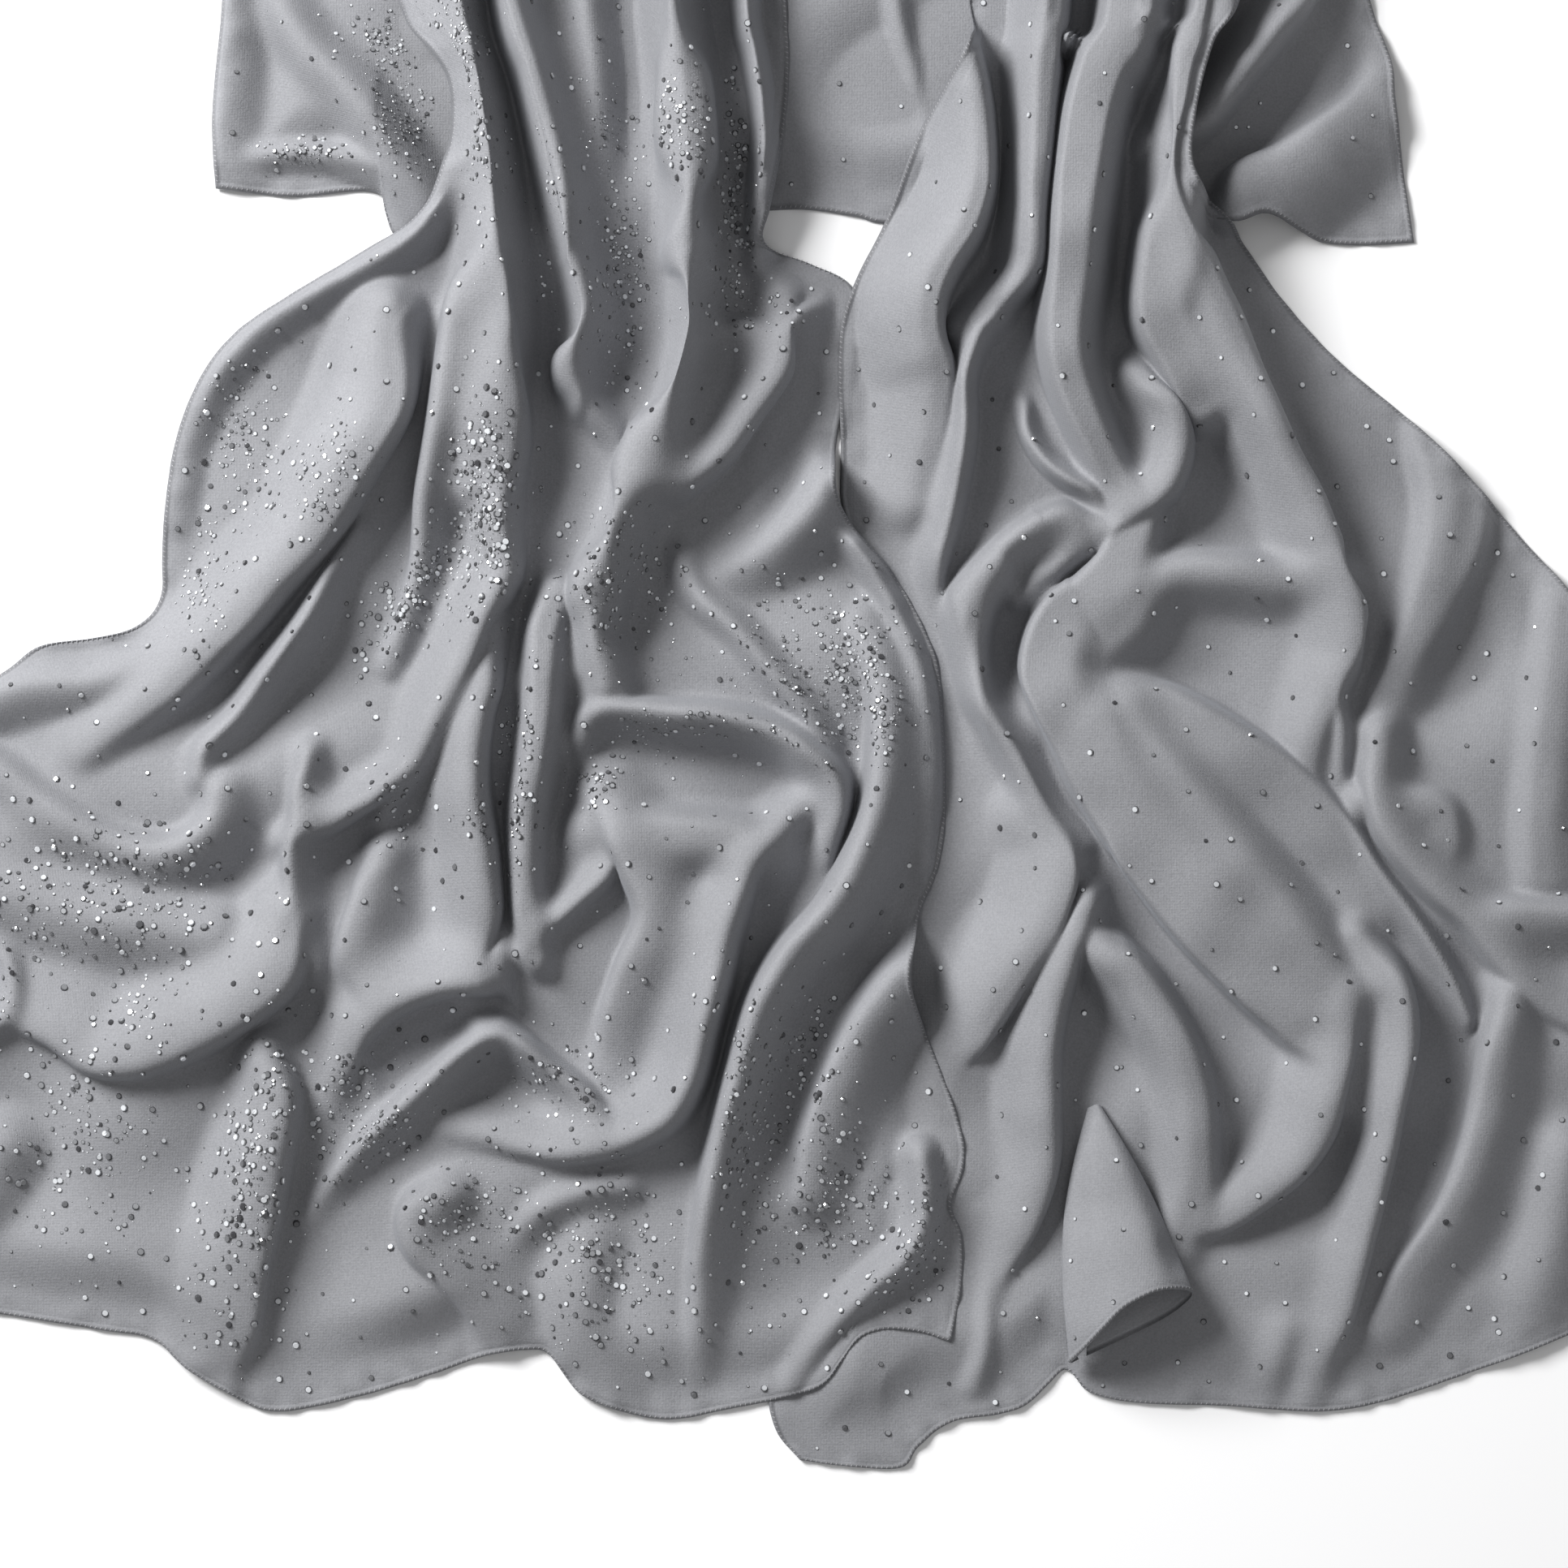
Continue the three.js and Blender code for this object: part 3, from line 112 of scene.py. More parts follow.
# The folds of each stretch. A path gives x, y and height along the fold's ridge. left and right are
# how far the fold reaches on each side of the way it runs, and lean is how far its ridge is pushed
# to the right, or below zero to the left. A pair gives the values at the path's start and its end.
# level is a flat top on both sides, flat the level share of a leaning fold's wide side, and shade
# the reach of the gentle slope below its steep side.
leftTailFolds = {
    "first column": fold((20, 15), 10, 8, [
        (-90, 22, 26), (-90, 55, 31), (-91, 80, 34), (-92, 105, 36), (-95, 130, 38), (-98, 150, 39),
        (-101, 172, 39), (-106, 197, 39), (-111, 219, 38), (-118, 255, 36), (-122, farEnd, 34)]),
    "left lobe of the first column": fold(9, 14, -4, [
        (-154, -22, 8), (-146, -4, 14), (-139, 16, 19), (-136, 38, 23), (-132, 60, 27),
        (-129, 80, 29), (-126, 100, 30),
        (-123, 120, 28), (-121, 138, 26), (-122, 160, 22), (-129, 190, 20), (-139, 214, 18),
        (-150, farEnd, 14)]),
    "body of the first column": fold(24, 22, 0, [
        (-113, 40, 24), (-110, 70, 31), (-107, 105, 34), (-109, 135, 36), (-112, 160, 37),
        (-118, 190, 36), (-125, 218, 34), (-137, farEnd, 30)]),
    "foot of the first column": fold((14, 24), 10, (3, 6), [
        (-143, -84, 12), (-134, -68, 19), (-124, -48, 25), (-113, -27, 28), (-103, -8, 29),
        (-95, 8, 28), (-91, 26, 27)]),
    "second column": fold(8, (12, 15), -6, [
        (-66, 43, 12), (-78, 60, 20), (-86, 74, 26), (-87, 86, 29), (-83, 94, 31), (-79, 102, 32),
        (-80, 112, 33), (-85, 126, 35), (-86, 142, 36), (-89, 160, 36), (-97, 190, 36),
        (-105, 216, 36), (-112, 250, 34), (-118, farEnd, 32)]),
    "body of the second column": fold(12, 12, 0, [
        (-74, 70, 22), (-72, 95, 29), (-76, 120, 32), (-84, 150, 34), (-93, 190, 35),
        (-101, 218, 35),
        (-115, farEnd, 31)]),
    "plain between the columns": fold(18, 18, 0, [
        (-64, 118, 4), (-68, 150, 12), (-70, 190, 16), (-74, 230, 18), (-80, farEnd, 16)]),
    "third column, left edge": fold(9, 16, -5, [
        (-72, -42, 20), (-76, -28, 24), (-81, -14, 26), (-84, -2, 28), (-80, 10, 30),
        (-73, 25, 31), (-67, 42, 32), (-60, 58, 33), (-52, 72, 34), (-44, 88, 35), (-43, 100, 35),
        (-45, 112, 36), (-48, 126, 36), (-45, 145, 36), (-49, 160, 36), (-50, 190, 36),
        (-52, 220, 36), (-60, farEnd, 32)]),
    "third column, right edge": fold(15, 9, 5, [
        (-31, 46, 22), (-32, 60, 28), (-29, 80, 32), (-25, 105, 34), (-23, 130, 35), (-22, 160, 36),
        (-24, 190, 36), (-30, 220, 36), (-38, farEnd, 32)]),
    "body of the third column": fold(18, 17, 0, [
        (-66, -36, 24), (-70, -16, 27), (-67, 5, 28), (-56, 30, 30), (-44, 55, 33),
        (-36, 85, 35), (-34, 110, 36), (-35, 140, 37),
        (-36, 180, 37), (-41, 220, 36), (-50, farEnd, 32)]),
    "swag of the third column": fold(18, 9, 5, [
        (-62, -30, 16), (-57, -10, 22), (-53, 10, 26), (-50, 26, 28), (-35, 35, 27), (-20, 47, 25),
        (-10, 61, 23), (2, 78, 20), (10, 95, 17), (12, 108, 12)]),
    "fourth column": fold(9, 9, 0, [
        (-10, 122, 10), (-8, 145, 21), (-7, 160, 25), (-8, 180, 27), (-11, 200, 28), (-14, 220, 29),
        (-18, farEnd, 25)]),
    "lip of the pocket": fold(7, 18, -3, [
        (-24, 104, 12), (-8, 102, 16), (5, 106, 17), (16, 112, 15), (24, 112, 9)]),
    "rim of the shoulder": fold(10, 14, 0, [
        (-226, 30, 5), (-221, 58, 7), (-211, 80, 9), (-196, 97, 11), (-176, 110, 13),
        (-155, 121, 16),
        (-138, 131, 20), (-128, 143, 24), (-124, 158, 26)]),
    "long slope of the shoulder": fold((26, 36), (14, 10), (1, 8), [
        (-256, -60, 10), (-236, -47, 15), (-215, -31, 19), (-198, -15, 22), (-183, 0, 25),
        (-170, 12, 27), (-160, 25, 29), (-150, 42, 30), (-138, 62, 29), (-131, 80, 27),
        (-127, 98, 22)]),
    "second slope": fold(10, 13, 0, [
        (-216, -68, 18), (-214, -57, 20), (-203, -46, 21), (-190, -28, 22), (-176, -8, 22),
        (-167, 10, 20), (-158, 24, 14)]),
    "outer sweep": fold(11, 24, -2, [
        (-335, -44, 12), (-295, -58, 15), (-272, -74, 17), (-252, -86, 18), (-236, -91, 19),
        (-223, -90, 20), (-215, -82, 20), (-214, -72, 19)]),
    "upper left rise": fold(14, 22, 0, [
        (-310, -44, 8), (-280, -34, 12), (-255, -32, 12), (-234, -26, 9)]),
    "lower column": fold((26, 17), 8, 6, [
        (-104, -147, 12), (-102, -120, 22), (-104, -95, 27), (-108, -72, 29), (-107, -50, 28),
        (-102, -32, 25), (-96, -16, 18)]),
    "thin column": fold((8, 12), (9, 14), 0, level=4, path=[
        (-91, -136, 17), (-95, -117, 21), (-96, -98, 23), (-95, -80, 25), (-92, -62, 27),
        (-90, -45, 28), (-89, -28, 27), (-88, -12, 23), (-84, 0, 18)]),
    "branch of the thin column": fold(12, 9, 3, [
        (-93, -138, 16), (-86, -127, 18), (-76, -117, 20), (-64, -107, 20), (-56, -100, 18)]),
    "front of the swag": fold(9, 30, -5, [
        (-77, -166, 8), (-69, -150, 16), (-63, -135, 22), (-57, -122, 25), (-57, -114, 27),
        (-63, -103, 27), (-70, -93, 25), (-77, -84, 20)]),
    "top of the cross swag": fold(9, 15, -3, [
        (-82, -50, 15), (-75, -40, 22), (-62, -38, 26), (-42, -40, 28), (-20, -42, 29),
        (0, -48, 29),
        (11, -55, 29), (20, -63, 28), (24, -74, 25), (23, -88, 18), (21, -100, 11)]),
    "mound of the swag": fold(13, 30, 0, level=4, path=[
        (-68, -84, 17), (-48, -86, 23), (-25, -88, 24), (-6, -90, 22)]),
    "crossing fold": fold(14, 12, 0, [
        (-38, 14, 8), (-31, -1, 14), (-18, -13, 17), (-5, -28, 18), (8, -44, 16), (15, -55, 12)]),
    "right shoulder": fold(15, 26, 0, [
        (-24, 6, 9), (-6, 17, 16), (8, 30, 20), (17, 44, 20)]),
    "long fold to the middle": fold(8, (16, 22), -4, [
        (-41, -286, 4), (-39, -268, 12), (-36, -250, 18), (-33, -225, 24), (-28, -200, 28),
        (-23, -180, 31), (-16, -155, 33), (-9, -140, 34), (0, -127, 34), (13, -113, 33),
        (23, -95, 31), (29, -76, 29), (31, -55, 25), (28, -35, 18), (20, -15, 10)]),
    "great curve": fold(17, 9, 5, shade=38, path=[
        (-125, -209, 8), (-100, -211, 14), (-80, -212, 19), (-62, -209, 23), (-48, -203, 27),
        (-37, -195, 30), (-29, -180, 31), (-24, -160, 32), (-19, -140, 32), (-15, -122, 31),
        (-8, -106, 28), (4, -96, 24), (14, -88, 17)]),
    "arch": fold(20, 8, 6, [
        (-154, -188, 9), (-153, -172, 16), (-147, -162, 21), (-137, -155, 24), (-125, -151, 26),
        (-110, -150, 26), (-100, -147, 23), (-94, -140, 18)]),
    "left edge of the arch": fold(7, 24, -5, [
        (-166, -147, 14), (-168, -135, 18), (-165, -122, 20), (-161, -110, 20), (-160, -96, 16)]),
    "fold beside the hollow": fold(7, 14, -3, [
        (-180, -140, 16), (-183, -120, 20), (-185, -105, 22), (-185, -90, 23), (-182, -75, 23),
        (-182, -58, 20)]),
    "lid of the hollow": fold(15, 6, 4, [
        (-178, -98, 16), (-170, -92, 20), (-160, -84, 22), (-150, -79, 22), (-140, -74, 20)]),
    "edge of the broad plain": fold(36, 9, 6, [
        (-305, -168, 9), (-277, -168, 14), (-258, -180, 18), (-240, -181, 21), (-225, -177, 23),
        (-210, -170, 25), (-195, -161, 27), (-181, -150, 27), (-171, -139, 26), (-166, -126, 22)]),
    "broad plain": fold(26, 36, 0, [
        (-340, -105, 12), (-290, -110, 16), (-250, -120, 18), (-212, -126, 19)]),
    "left knuckle": fold(10, 9, 0, [
        (-315, -170, 12), (-293, -161, 16), (-284, -148, 17), (-287, -134, 16), (-300, -122, 12)]),
    "bright skirt fold": fold((40, 22), 9, 6, shade=62, path=[
        (-195, -294, 5), (-191, -275, 12), (-188, -250, 18), (-184, -230, 22), (-181, -212, 24),
        (-178, -195, 25), (-177, -180, 24), (-178, -165, 18)]),
    "left skirt": fold(26, 26, 0, [
        (-335, -252, 4), (-305, -230, 10), (-290, -205, 13)]),
    "first small leg": fold(6, 7, 0, [
        (-173, -187, 5), (-171, -168, 12), (-167, -150, 15)]),
    "second small leg": fold(6, 8, 0, [
        (-150, -190, 6), (-157, -171, 12), (-161, -153, 15)]),
    "slanting fold": fold(8, 13, -2, [
        (-182, -231, 5), (-166, -211, 14), (-151, -195, 19), (-136, -181, 22), (-121, -167, 24),
        (-109, -157, 22)]),
    "right side of the peak": fold(12, 9, 3, [
        (-60, -192, 12), (-70, -183, 17), (-85, -172, 20), (-98, -161, 22), (-108, -155, 20)]),
    "roll under the curve": fold(8, 26, -5, [
        (-118, -281, 5), (-121, -267, 11), (-131, -255, 15), (-141, -246, 18), (-145, -233, 20),
        (-143, -221, 21), (-136, -213, 18)]),
    "mound under the curve": fold(9, 16, 0, [
        (-102, -240, 6), (-91, -227, 12), (-76, -220, 14), (-58, -217, 12)]),
    "middle skirt": fold(26, 22, 0, [
        (-64, -292, 5), (-74, -264, 11), (-70, -238, 9)]),
    "bright triangle": fold(8, 30, -3, [
        (0, -218, 14), (5, -200, 18), (14, -177, 21), (24, -156, 24), (35, -140, 26),
        (46, -126, 20)]),
    "last skirt fold": fold(12, 14, 0, [
        (3, -291, 5), (16, -272, 12), (32, -256, 17), (46, -243, 19), (52, -226, 20),
        (50, -206, 19)]),
    "right margin": fold(10, 8, 0, [
        (51, -100, 8), (54, -62, 12), (50, -28, 12), (37, 2, 12), (25, 20, 13)]),
}
rightTailFolds = {
    "hemmed column": fold((32, 14), 9, 4, [
        (62, 36, 11), (64, 60, 16), (64, 82, 23), (59, 96, 29), (59, 108, 33), (64, 120, 35),
        (71, 131, 36), (76, 146, 36), (77, 162, 35), (75, 185, 34), (70, 205, 33), (66, 225, 31),
        (66, farEnd, 27)]),
    "body of the second column": fold(14, 10, 0, [
        (80, 104, 20), (87, 122, 28), (88, 145, 31), (89, 170, 32), (90, 195, 32), (93, 220, 31),
        (98, farEnd, 27)]),
    "second column": fold(18, 8, 4, [
        (72, 90, 18), (80, 98, 20), (90, 108, 27), (96, 120, 31), (97, 140, 33), (99, 165, 34),
        (101, 190, 34), (104, 220, 34), (108, farEnd, 30)]),
    "thin fold": fold(9, 10, 2, [
        (57, -8, 18), (58, 10, 20), (62, 25, 23), (66, 45, 27), (68, 62, 28), (68, 80, 28),
        (73, 92, 27), (80, 99, 24)]),
    "third column": fold(8, (16, 31), -4, flat=0.45, path=[
        (114, 33, 20), (110, 42, 24), (105, 55, 28), (100, 70, 31), (96, 85, 34), (95, 100, 36),
        (97, 120, 38), (98, 140, 39), (100, 160, 39), (103, 180, 39), (109, 200, 38),
        (117, 219, 37),
        (124, farEnd, 32)]),
    "left edge of the fourth column": fold(8, 23, -2, flat=0.9, path=[
        (143, 66, 24), (138, 80, 28), (131, 95, 31), (129, 106, 33), (130, 120, 34), (133, 140, 35),
        (137, 160, 36), (139, 190, 36), (143, 206, 36), (148, 222, 35), (156, farEnd, 32)]),
    "fourth column": fold((24, 16), 9, (9, 0), [
        (210, -72, 12), (211, -55, 17), (216, -36, 20), (220, -22, 22), (218, -10, 24),
        (214, 4, 25),
        (209, 17, 26), (202, 36, 28), (194, 52, 29), (186, 68, 31), (177, 86, 33), (169, 103, 34),
        (162, 116, 35), (156, 130, 36), (150, 146, 36), (148, 162, 36), (151, 178, 36),
        (153, 192, 36), (158, 215, 35), (166, farEnd, 31)]),
    "body of the fourth column": fold(19, 22, 0, [
        (190, 22, 21), (178, 50, 25), (165, 74, 28), (153, 96, 30), (145, 114, 28)]),
    "hanging loop": fold(20, 8, 5, [
        (106, -4, 14), (112, 8, 17), (121, 15, 20), (131, 22, 23), (143, 32, 26), (150, 45, 28),
        (152, 60, 28), (148, 75, 27), (141, 87, 22)]),
    "strand into the pinch": fold(8, 7, 2, [
        (85, 70, 13), (89, 57, 18), (96, 47, 22), (104, 41, 24), (112, 35, 24)]),
    "band of the S": fold(8, (15, 9), -3, level=2, path=[
        (57, -6, 24), (64, 4, 25), (72, 13, 26), (82, 22, 26), (93, 29, 25), (104, 33, 23),
        (113, 34, 19)]),
    "body of the S": fold(10, 10, 0, level=3, path=[
        (106, -98, 22), (95, -78, 23), (86, -60, 24), (78, -46, 24), (72, -35, 24),
        (69, -18, 25), (72, -3, 25), (80, 9, 24)]),
    "lip in the pinch": fold(6, 6, 0, level=1, path=[
        (86, -2, 14), (93, 6, 18), (101, 13, 20), (109, 22, 20)]),
    "great left edge": fold(9, (44, 20), -6, level=6, path=[
        (199, -191, 14), (191, -178, 18), (180, -163, 21), (165, -148, 24), (150, -133, 26),
        (135, -115, 27), (120, -94, 28), (108, -75, 29), (99, -57, 30), (92, -45, 31),
        (87, -32, 30),
        (88, -19, 29), (92, -8, 27), (98, 1, 25), (105, 7, 23), (111, 16, 22), (114, 26, 21),
        (114, 37, 18)]),
    "inner S fold": fold(7, 17, -4, [
        (101, -97, 14), (90, -77, 19), (80, -61, 22), (71, -50, 24), (64, -41, 25), (59, -29, 25),
        (56, -17, 25), (56, -5, 22), (60, 7, 17)]),
    "tail of the S fold": fold(30, 8, 5, [
        (60, -190, 8), (75, -170, 14), (85, -155, 19), (95, -140, 23), (105, -125, 26),
        (111, -106, 27), (112, -92, 25), (107, -77, 20)]),
    "upper plain": fold(14, 24, 0, level=2, path=[
        (106, -32, 22), (116, -20, 22), (127, -10, 21), (134, 2, 22), (146, 9, 22),
        (165, 9, 22), (185, 6, 20),
        (203, 8, 19)]),
    "top edge of the great plain": fold(42, 10, 3, [
        (228, -106, 12), (214, -86, 16), (192, -64, 20), (176, -53, 22), (160, -43, 23),
        (140, -33, 22), (120, -28, 22), (104, -26, 20)]),
    "great plain": fold(34, 34, 0, level=6, path=[
        (122, -48, 29), (142, -74, 31), (170, -108, 29), (198, -146, 24)]),
    "lobe": fold(16, 9, 0, [
        (206, -68, 12), (206, -50, 17), (203, -32, 19), (210, -18, 19)]),
    "edge of the outer plain": fold(8, 22, -4, [
        (312, -172, 10), (290, -163, 14), (270, -149, 18), (255, -131, 21), (236, -112, 23),
        (218, -91, 24), (211, -72, 23), (209, -52, 20)]),
    "shelf": fold(12, 18, 0, level=3, path=[
        (214, -76, 17), (230, -76, 16), (243, -80, 14), (246, -92, 12)]),
    "ledge": fold(7, 24, -3, [
        (254, -104, 15), (262, -110, 18), (285, -113, 18), (322, -114, 14)]),
    "side ridge": fold(16, 26, 0, level=3, path=[
        (280, -104, 10), (279, -80, 13), (282, -50, 13), (287, -20, 10), (290, 2, 6)]),
    "outer band": fold(12, 24, 0, level=3, path=[
        (221, -38, 10), (229, -20, 14), (238, 10, 16), (242, 36, 13), (238, 60, 6)]),
    "outer crease": fold(22, 10, 2, [
        (226, -38, 8), (240, -22, 11), (249, -4, 13), (258, 16, 12), (263, 36, 7)]),
    "slim band": fold(10, 6, 0, [
        (254, -158, 14), (246, -140, 19), (231, -117, 21), (216, -97, 20), (203, -78, 16)]),
    "thin skirt column": fold(16, 8, 5, [
        (208, -297, 4), (213, -270, 12), (219, -242, 18), (225, -215, 23), (231, -188, 26),
        (235, -162, 27), (231, -138, 25), (221, -119, 19)]),
    "right skirt edge": fold(7, 26, -4, [
        (214, -263, 7), (226, -245, 12), (240, -225, 16), (248, -205, 19), (253, -185, 21),
        (256, -165, 22), (257, -148, 19)]),
    "lower lobe edge": fold(24, 9, 5, [
        (148, -248, 9), (165, -238, 14), (181, -227, 18), (195, -215, 21), (205, -199, 24),
        (212, -176, 26), (221, -151, 23)]),
    "left leg of the arch": fold(22, 10, 4, [
        (84, -262, 6), (94, -238, 12), (102, -212, 17), (102, -188, 21), (102, -166, 24),
        (106, -146, 26), (113, -130, 27), (120, -119, 25)]),
    "right leg of the arch": fold((22, 18), 14, 3, level=2, path=[
        (155, -242, 10), (158, -220, 16), (158, -198, 20), (155, -178, 23), (147, -159, 26),
        (136, -142, 28), (126, -130, 28), (118, -121, 25)]),
    "seam side fold": fold(8, 10, 0, [
        (70, -294, 5), (73, -276, 11), (72, -250, 13), (70, -228, 10)]),
    "right skirt mound": fold(26, 26, 0, [
        (275, -280, 4), (284, -240, 12), (290, -205, 14)]),
    "front skirt mound": fold(18, 14, 0, [
        (178, -298, 3), (186, -272, 9)]),
}
backFolds = {
    "flap ridge": fold(18, 20, 0, [
        (-133, 146, 14), (-141, 158, 18), (-150, 172, 21), (-162, 188, 22), (-176, 203, 20),
        (-190, 225, 14)]),
    "hem of the flap": fold(9, 10, 0, [
        (-206, 161, 5), (-186, 164, 9), (-166, 163, 12), (-149, 157, 14), (-137, 148, 13)]),
    "flap edge": fold(8, 26, 0, [
        (-209, 160, 6), (-207, 190, 12), (-204, 225, 14)]),
    "fan edge": fold(7, 34, (-9, -2), [
        (152, 152, 17), (163, 161, 20), (178, 167, 20), (191, 175, 18), (203, 182, 14),
        (211, 190, 9), (216, 204, 3)]),
    "fan ridge": fold(14, 9, 6, level=1, shade=50, path=[
        (148, 156, 23), (165, 178, 27), (185, 203, 26), (199, 222, 20), (208, 262, 13)]),
    "strip by the hem": fold(8, 11, 0, [
        (52, 174, 4), (47, 195, 9), (41, 220, 12), (36, 300, 10)]),
}

# The grid of the open fold, the share of its length where it begins, its lift, length and mouth's
# step in millimetres, and the power of length at which it rises.
cone = dict(around=110, along=90, begin=0.06, clear=0.35, length=92, mouthStep=1.1, risePower=0.75)

# How every stretch is shaped, in millimetres: its folds, how they lean, their level tops and the
# gentle slopes beside them, how it lies over and under others, its far end, and its unevenness.
drape = dict(
    base=1.6, foldBlend=8, pathStep=3, endShare=0.18, smoothing=2, placesAtOnce=20000,
    leanMore=1.3, fullLean=7, fullSide=4, leastSteep=12, leanReach=22, leanFade=7,
    ridgeBack=0.85, steepBack=0.45, levelShare=0.16, shadeShare=0.38, shadeReach=24,
    pressFade=12, pressReach=16, coverReach=2, leastRest=0.1, layerGap=0.5, lip=1.1, leastLip=0.05,
    rollDepth=26, rollShare=0.97,
    roughShare=0.025, roughPitch=45, bumps=0.25, bumpPitch=30,
    swell=6, swellWave=3, swellPitch=62, swellFrom=4, swellReach=34,
    rippleHeight=0.35, rippleReach=9, ripplePitch=11,
)
# Seeds of what is random, each its own.
seeds = dict(rough=3, bumps=5, swell=9, ripple=11, crystals=20)
# Waves that make up the unevenness, and the least and greatest share of its pitch.
waves = dict(count=14, least=0.7, most=1.6)
# Steps in millimetres between the points of an outline and of an edge.
outlineStep = 6
edgeStep = 1.5
# Lines of a turned hem, counted in from the edge, and how far each one stands up.
hem = dict(
    distances=[0, 0.35, 0.9, 1.5, 2.0, 2.6, 4.5],
    rises=[-0.5, 0.2, 0.45, 0.3, -0.1, 0.0, 0.0],
    stitchLine=2, stitchPitch=1.9, stitchLength=1.7, stitchWidth=0.22, stitchSlant=0.55,
)


# A smooth curve through rows of numbers, with a point about every step.
def smoothPath(rows, step):
    points = np.array(rows, float)
    ends = np.vstack([2 * points[0] - points[1], points, 2 * points[-1] - points[-2]])
    path = []
    for a, b, c, d in zip(ends[:-3], ends[1:-2], ends[2:-1], ends[3:]):
        count = max(1, math.ceil(np.linalg.norm(c[:2] - b[:2]) / step))
        t = np.arange(count)[:, None] / count
        path.append(0.5 * (2 * b + (c - a) * t + (2 * a - 5 * b + 4 * c - d) * t ** 2
                           + (3 * b - a - 3 * c + d) * t ** 3))
    return np.vstack([*path, points[-1:]])


# For each place: distance to the path, side of it, and the path's own columns there.
def nearestOn(path, places):
    start, span = path[:-1, :2], np.diff(path[:, :2], axis=0)
    length2 = (span ** 2).sum(1) + 1e-9
    offset = places[:, None] - start[None]
    t = np.clip((offset * span).sum(2) / length2, 0, 1)
    offset -= t[..., None] * span
    nearest = (offset ** 2).sum(2).argmin(1)
    pick = np.arange(len(places))
    t, offset = t[pick, nearest], offset[pick, nearest]
    distance = np.linalg.norm(offset, axis=1)
    right = np.stack([span[nearest, 1], -span[nearest, 0]], 1)
    right /= np.sqrt(length2[nearest])[:, None]
    side = (offset * right).sum(1) / np.maximum(distance, 1e-6)
    values = path[nearest] * (1 - t)[:, None] + path[nearest + 1] * t[:, None]
    return distance, side, values, (nearest + t) / len(span)


# Height of all the folds at each place, and how far they push the cloth sideways.
def foldField(places, folds):
    total = np.zeros(len(places))
    push = np.zeros((len(places), 2))
    for row in folds.values():
        path = smoothPath(row["path"], drape["pathStep"])
        along = np.gradient(path[:, :2], axis=0)
        along /= np.linalg.norm(along, axis=1)[:, None]
        right = np.stack([along[:, 1], -along[:, 0]], 1)
        along = np.linspace(0, 1, len(path))[:, None]
        left, toRight, lean = (row[key][0] * (1 - along) + row[key][1] * along
                               if isinstance(row[key], tuple) else row[key] + 0 * along
                               for key in ("left", "right", "lean"))
        lean = lean * drape["leanMore"]
        leant = np.clip(abs(lean) / drape["fullLean"], 0, 1)
        left = np.where(lean < 0, np.maximum(left, drape["leastSteep"] * leant), left)
        toRight = np.where(lean > 0, np.maximum(toRight, drape["leastSteep"] * leant), toRight)
        steep = np.where(lean > 0, toRight, left)
        back = drape["ridgeBack"] * lean + drape["steepBack"] * steep * leant * np.sign(lean)
        path[:, :2] -= right * back
        path = np.hstack([path, right, left, toRight, lean])
        shade = row.get("shade", drape["shadeReach"])
        reach = max(left.max(), toRight.max()) + shade
        low, high = path[:, :2].min(0) - reach, path[:, :2].max(0) + reach
        within = np.nonzero(((places > low) & (places < high)).all(1))[0]
        for part in np.array_split(within, len(within) // drape["placesAtOnce"] + 1):
            distance, side, values, share = nearestOn(path, places[part])
            narrow, wide = values[:, 5], values[:, 6]
            width = (narrow + wide) / 2 + side * (wide - narrow) / 2
            away = np.clip(-side * values[:, 7] / drape["fullSide"], 0, 1)
            flat = row.get("flat", drape["levelShare"])
            level = flat * away * width + row.get("level", 0)
            t = np.clip((distance - level) / (width - level), 0, 1)
            profile = (1 - t) ** 2 * (1 + 2 * t)
            beyond = np.clip(distance / (width + shade), 0, 1)
            leeward = np.clip(side * values[:, 7] / drape["fullSide"], 0, 1)
            profile = np.maximum(profile, drape["shadeShare"] * leeward * (1 - beyond) ** 2)
            weight = np.maximum(values[:, 2] * profile, 0) ** drape["foldBlend"]
            reached = np.clip(distance / drape["leanReach"], 0, 1)
            end = np.clip(np.minimum(share, 1 - share) / drape["endShare"], 0, 1)
            shift = values[:, 7] * (1 - reached ** 2) ** 2 * end ** 2 * (3 - 2 * end)
            total[part] += weight
            push[part] += (weight * shift)[:, None] * values[:, 3:5]
    low = drape["leanFade"] ** drape["foldBlend"]
    return total ** (1 / drape["foldBlend"]), push / (total + low)[:, None]


# Distance from each place to an outline, negative inside it.
def outsideBy(outline, places):
    distance = nearestOn(outline, places)[0]
    inside = np.zeros(len(places), bool)
    for a, b in zip(outline[:-1], outline[1:]):
        spans = (a[1] > places[:, 1]) != (b[1] > places[:, 1])
        rise = b[1] - a[1] or 1e-9
        inside ^= spans & (places[:, 0] < (b[0] - a[0]) * (places[:, 1] - a[1]) / rise + a[0])
    return np.where(inside, -distance, distance)


def outlineOf(edges):
    near, right, far, left = (smoothPath(edges[k], outlineStep)
                              for k in ("near", "right", "far", "left"))
    return np.vstack([near, right, far[::-1], left[::-1]])


def smoothStep(value, low, high):
    t = np.clip((value - low) / (high - low), 0, 1)
    return t * t * (3 - 2 * t)


# A curve's point at each share of its length.
def alongCurve(rows, share):
    path = smoothPath(rows, edgeStep)
    run = np.r_[0, np.cumsum(np.linalg.norm(np.diff(path, axis=0), axis=1))]
    return np.stack([np.interp(share * run[-1], run, path[:, i]) for i in range(2)], -1)


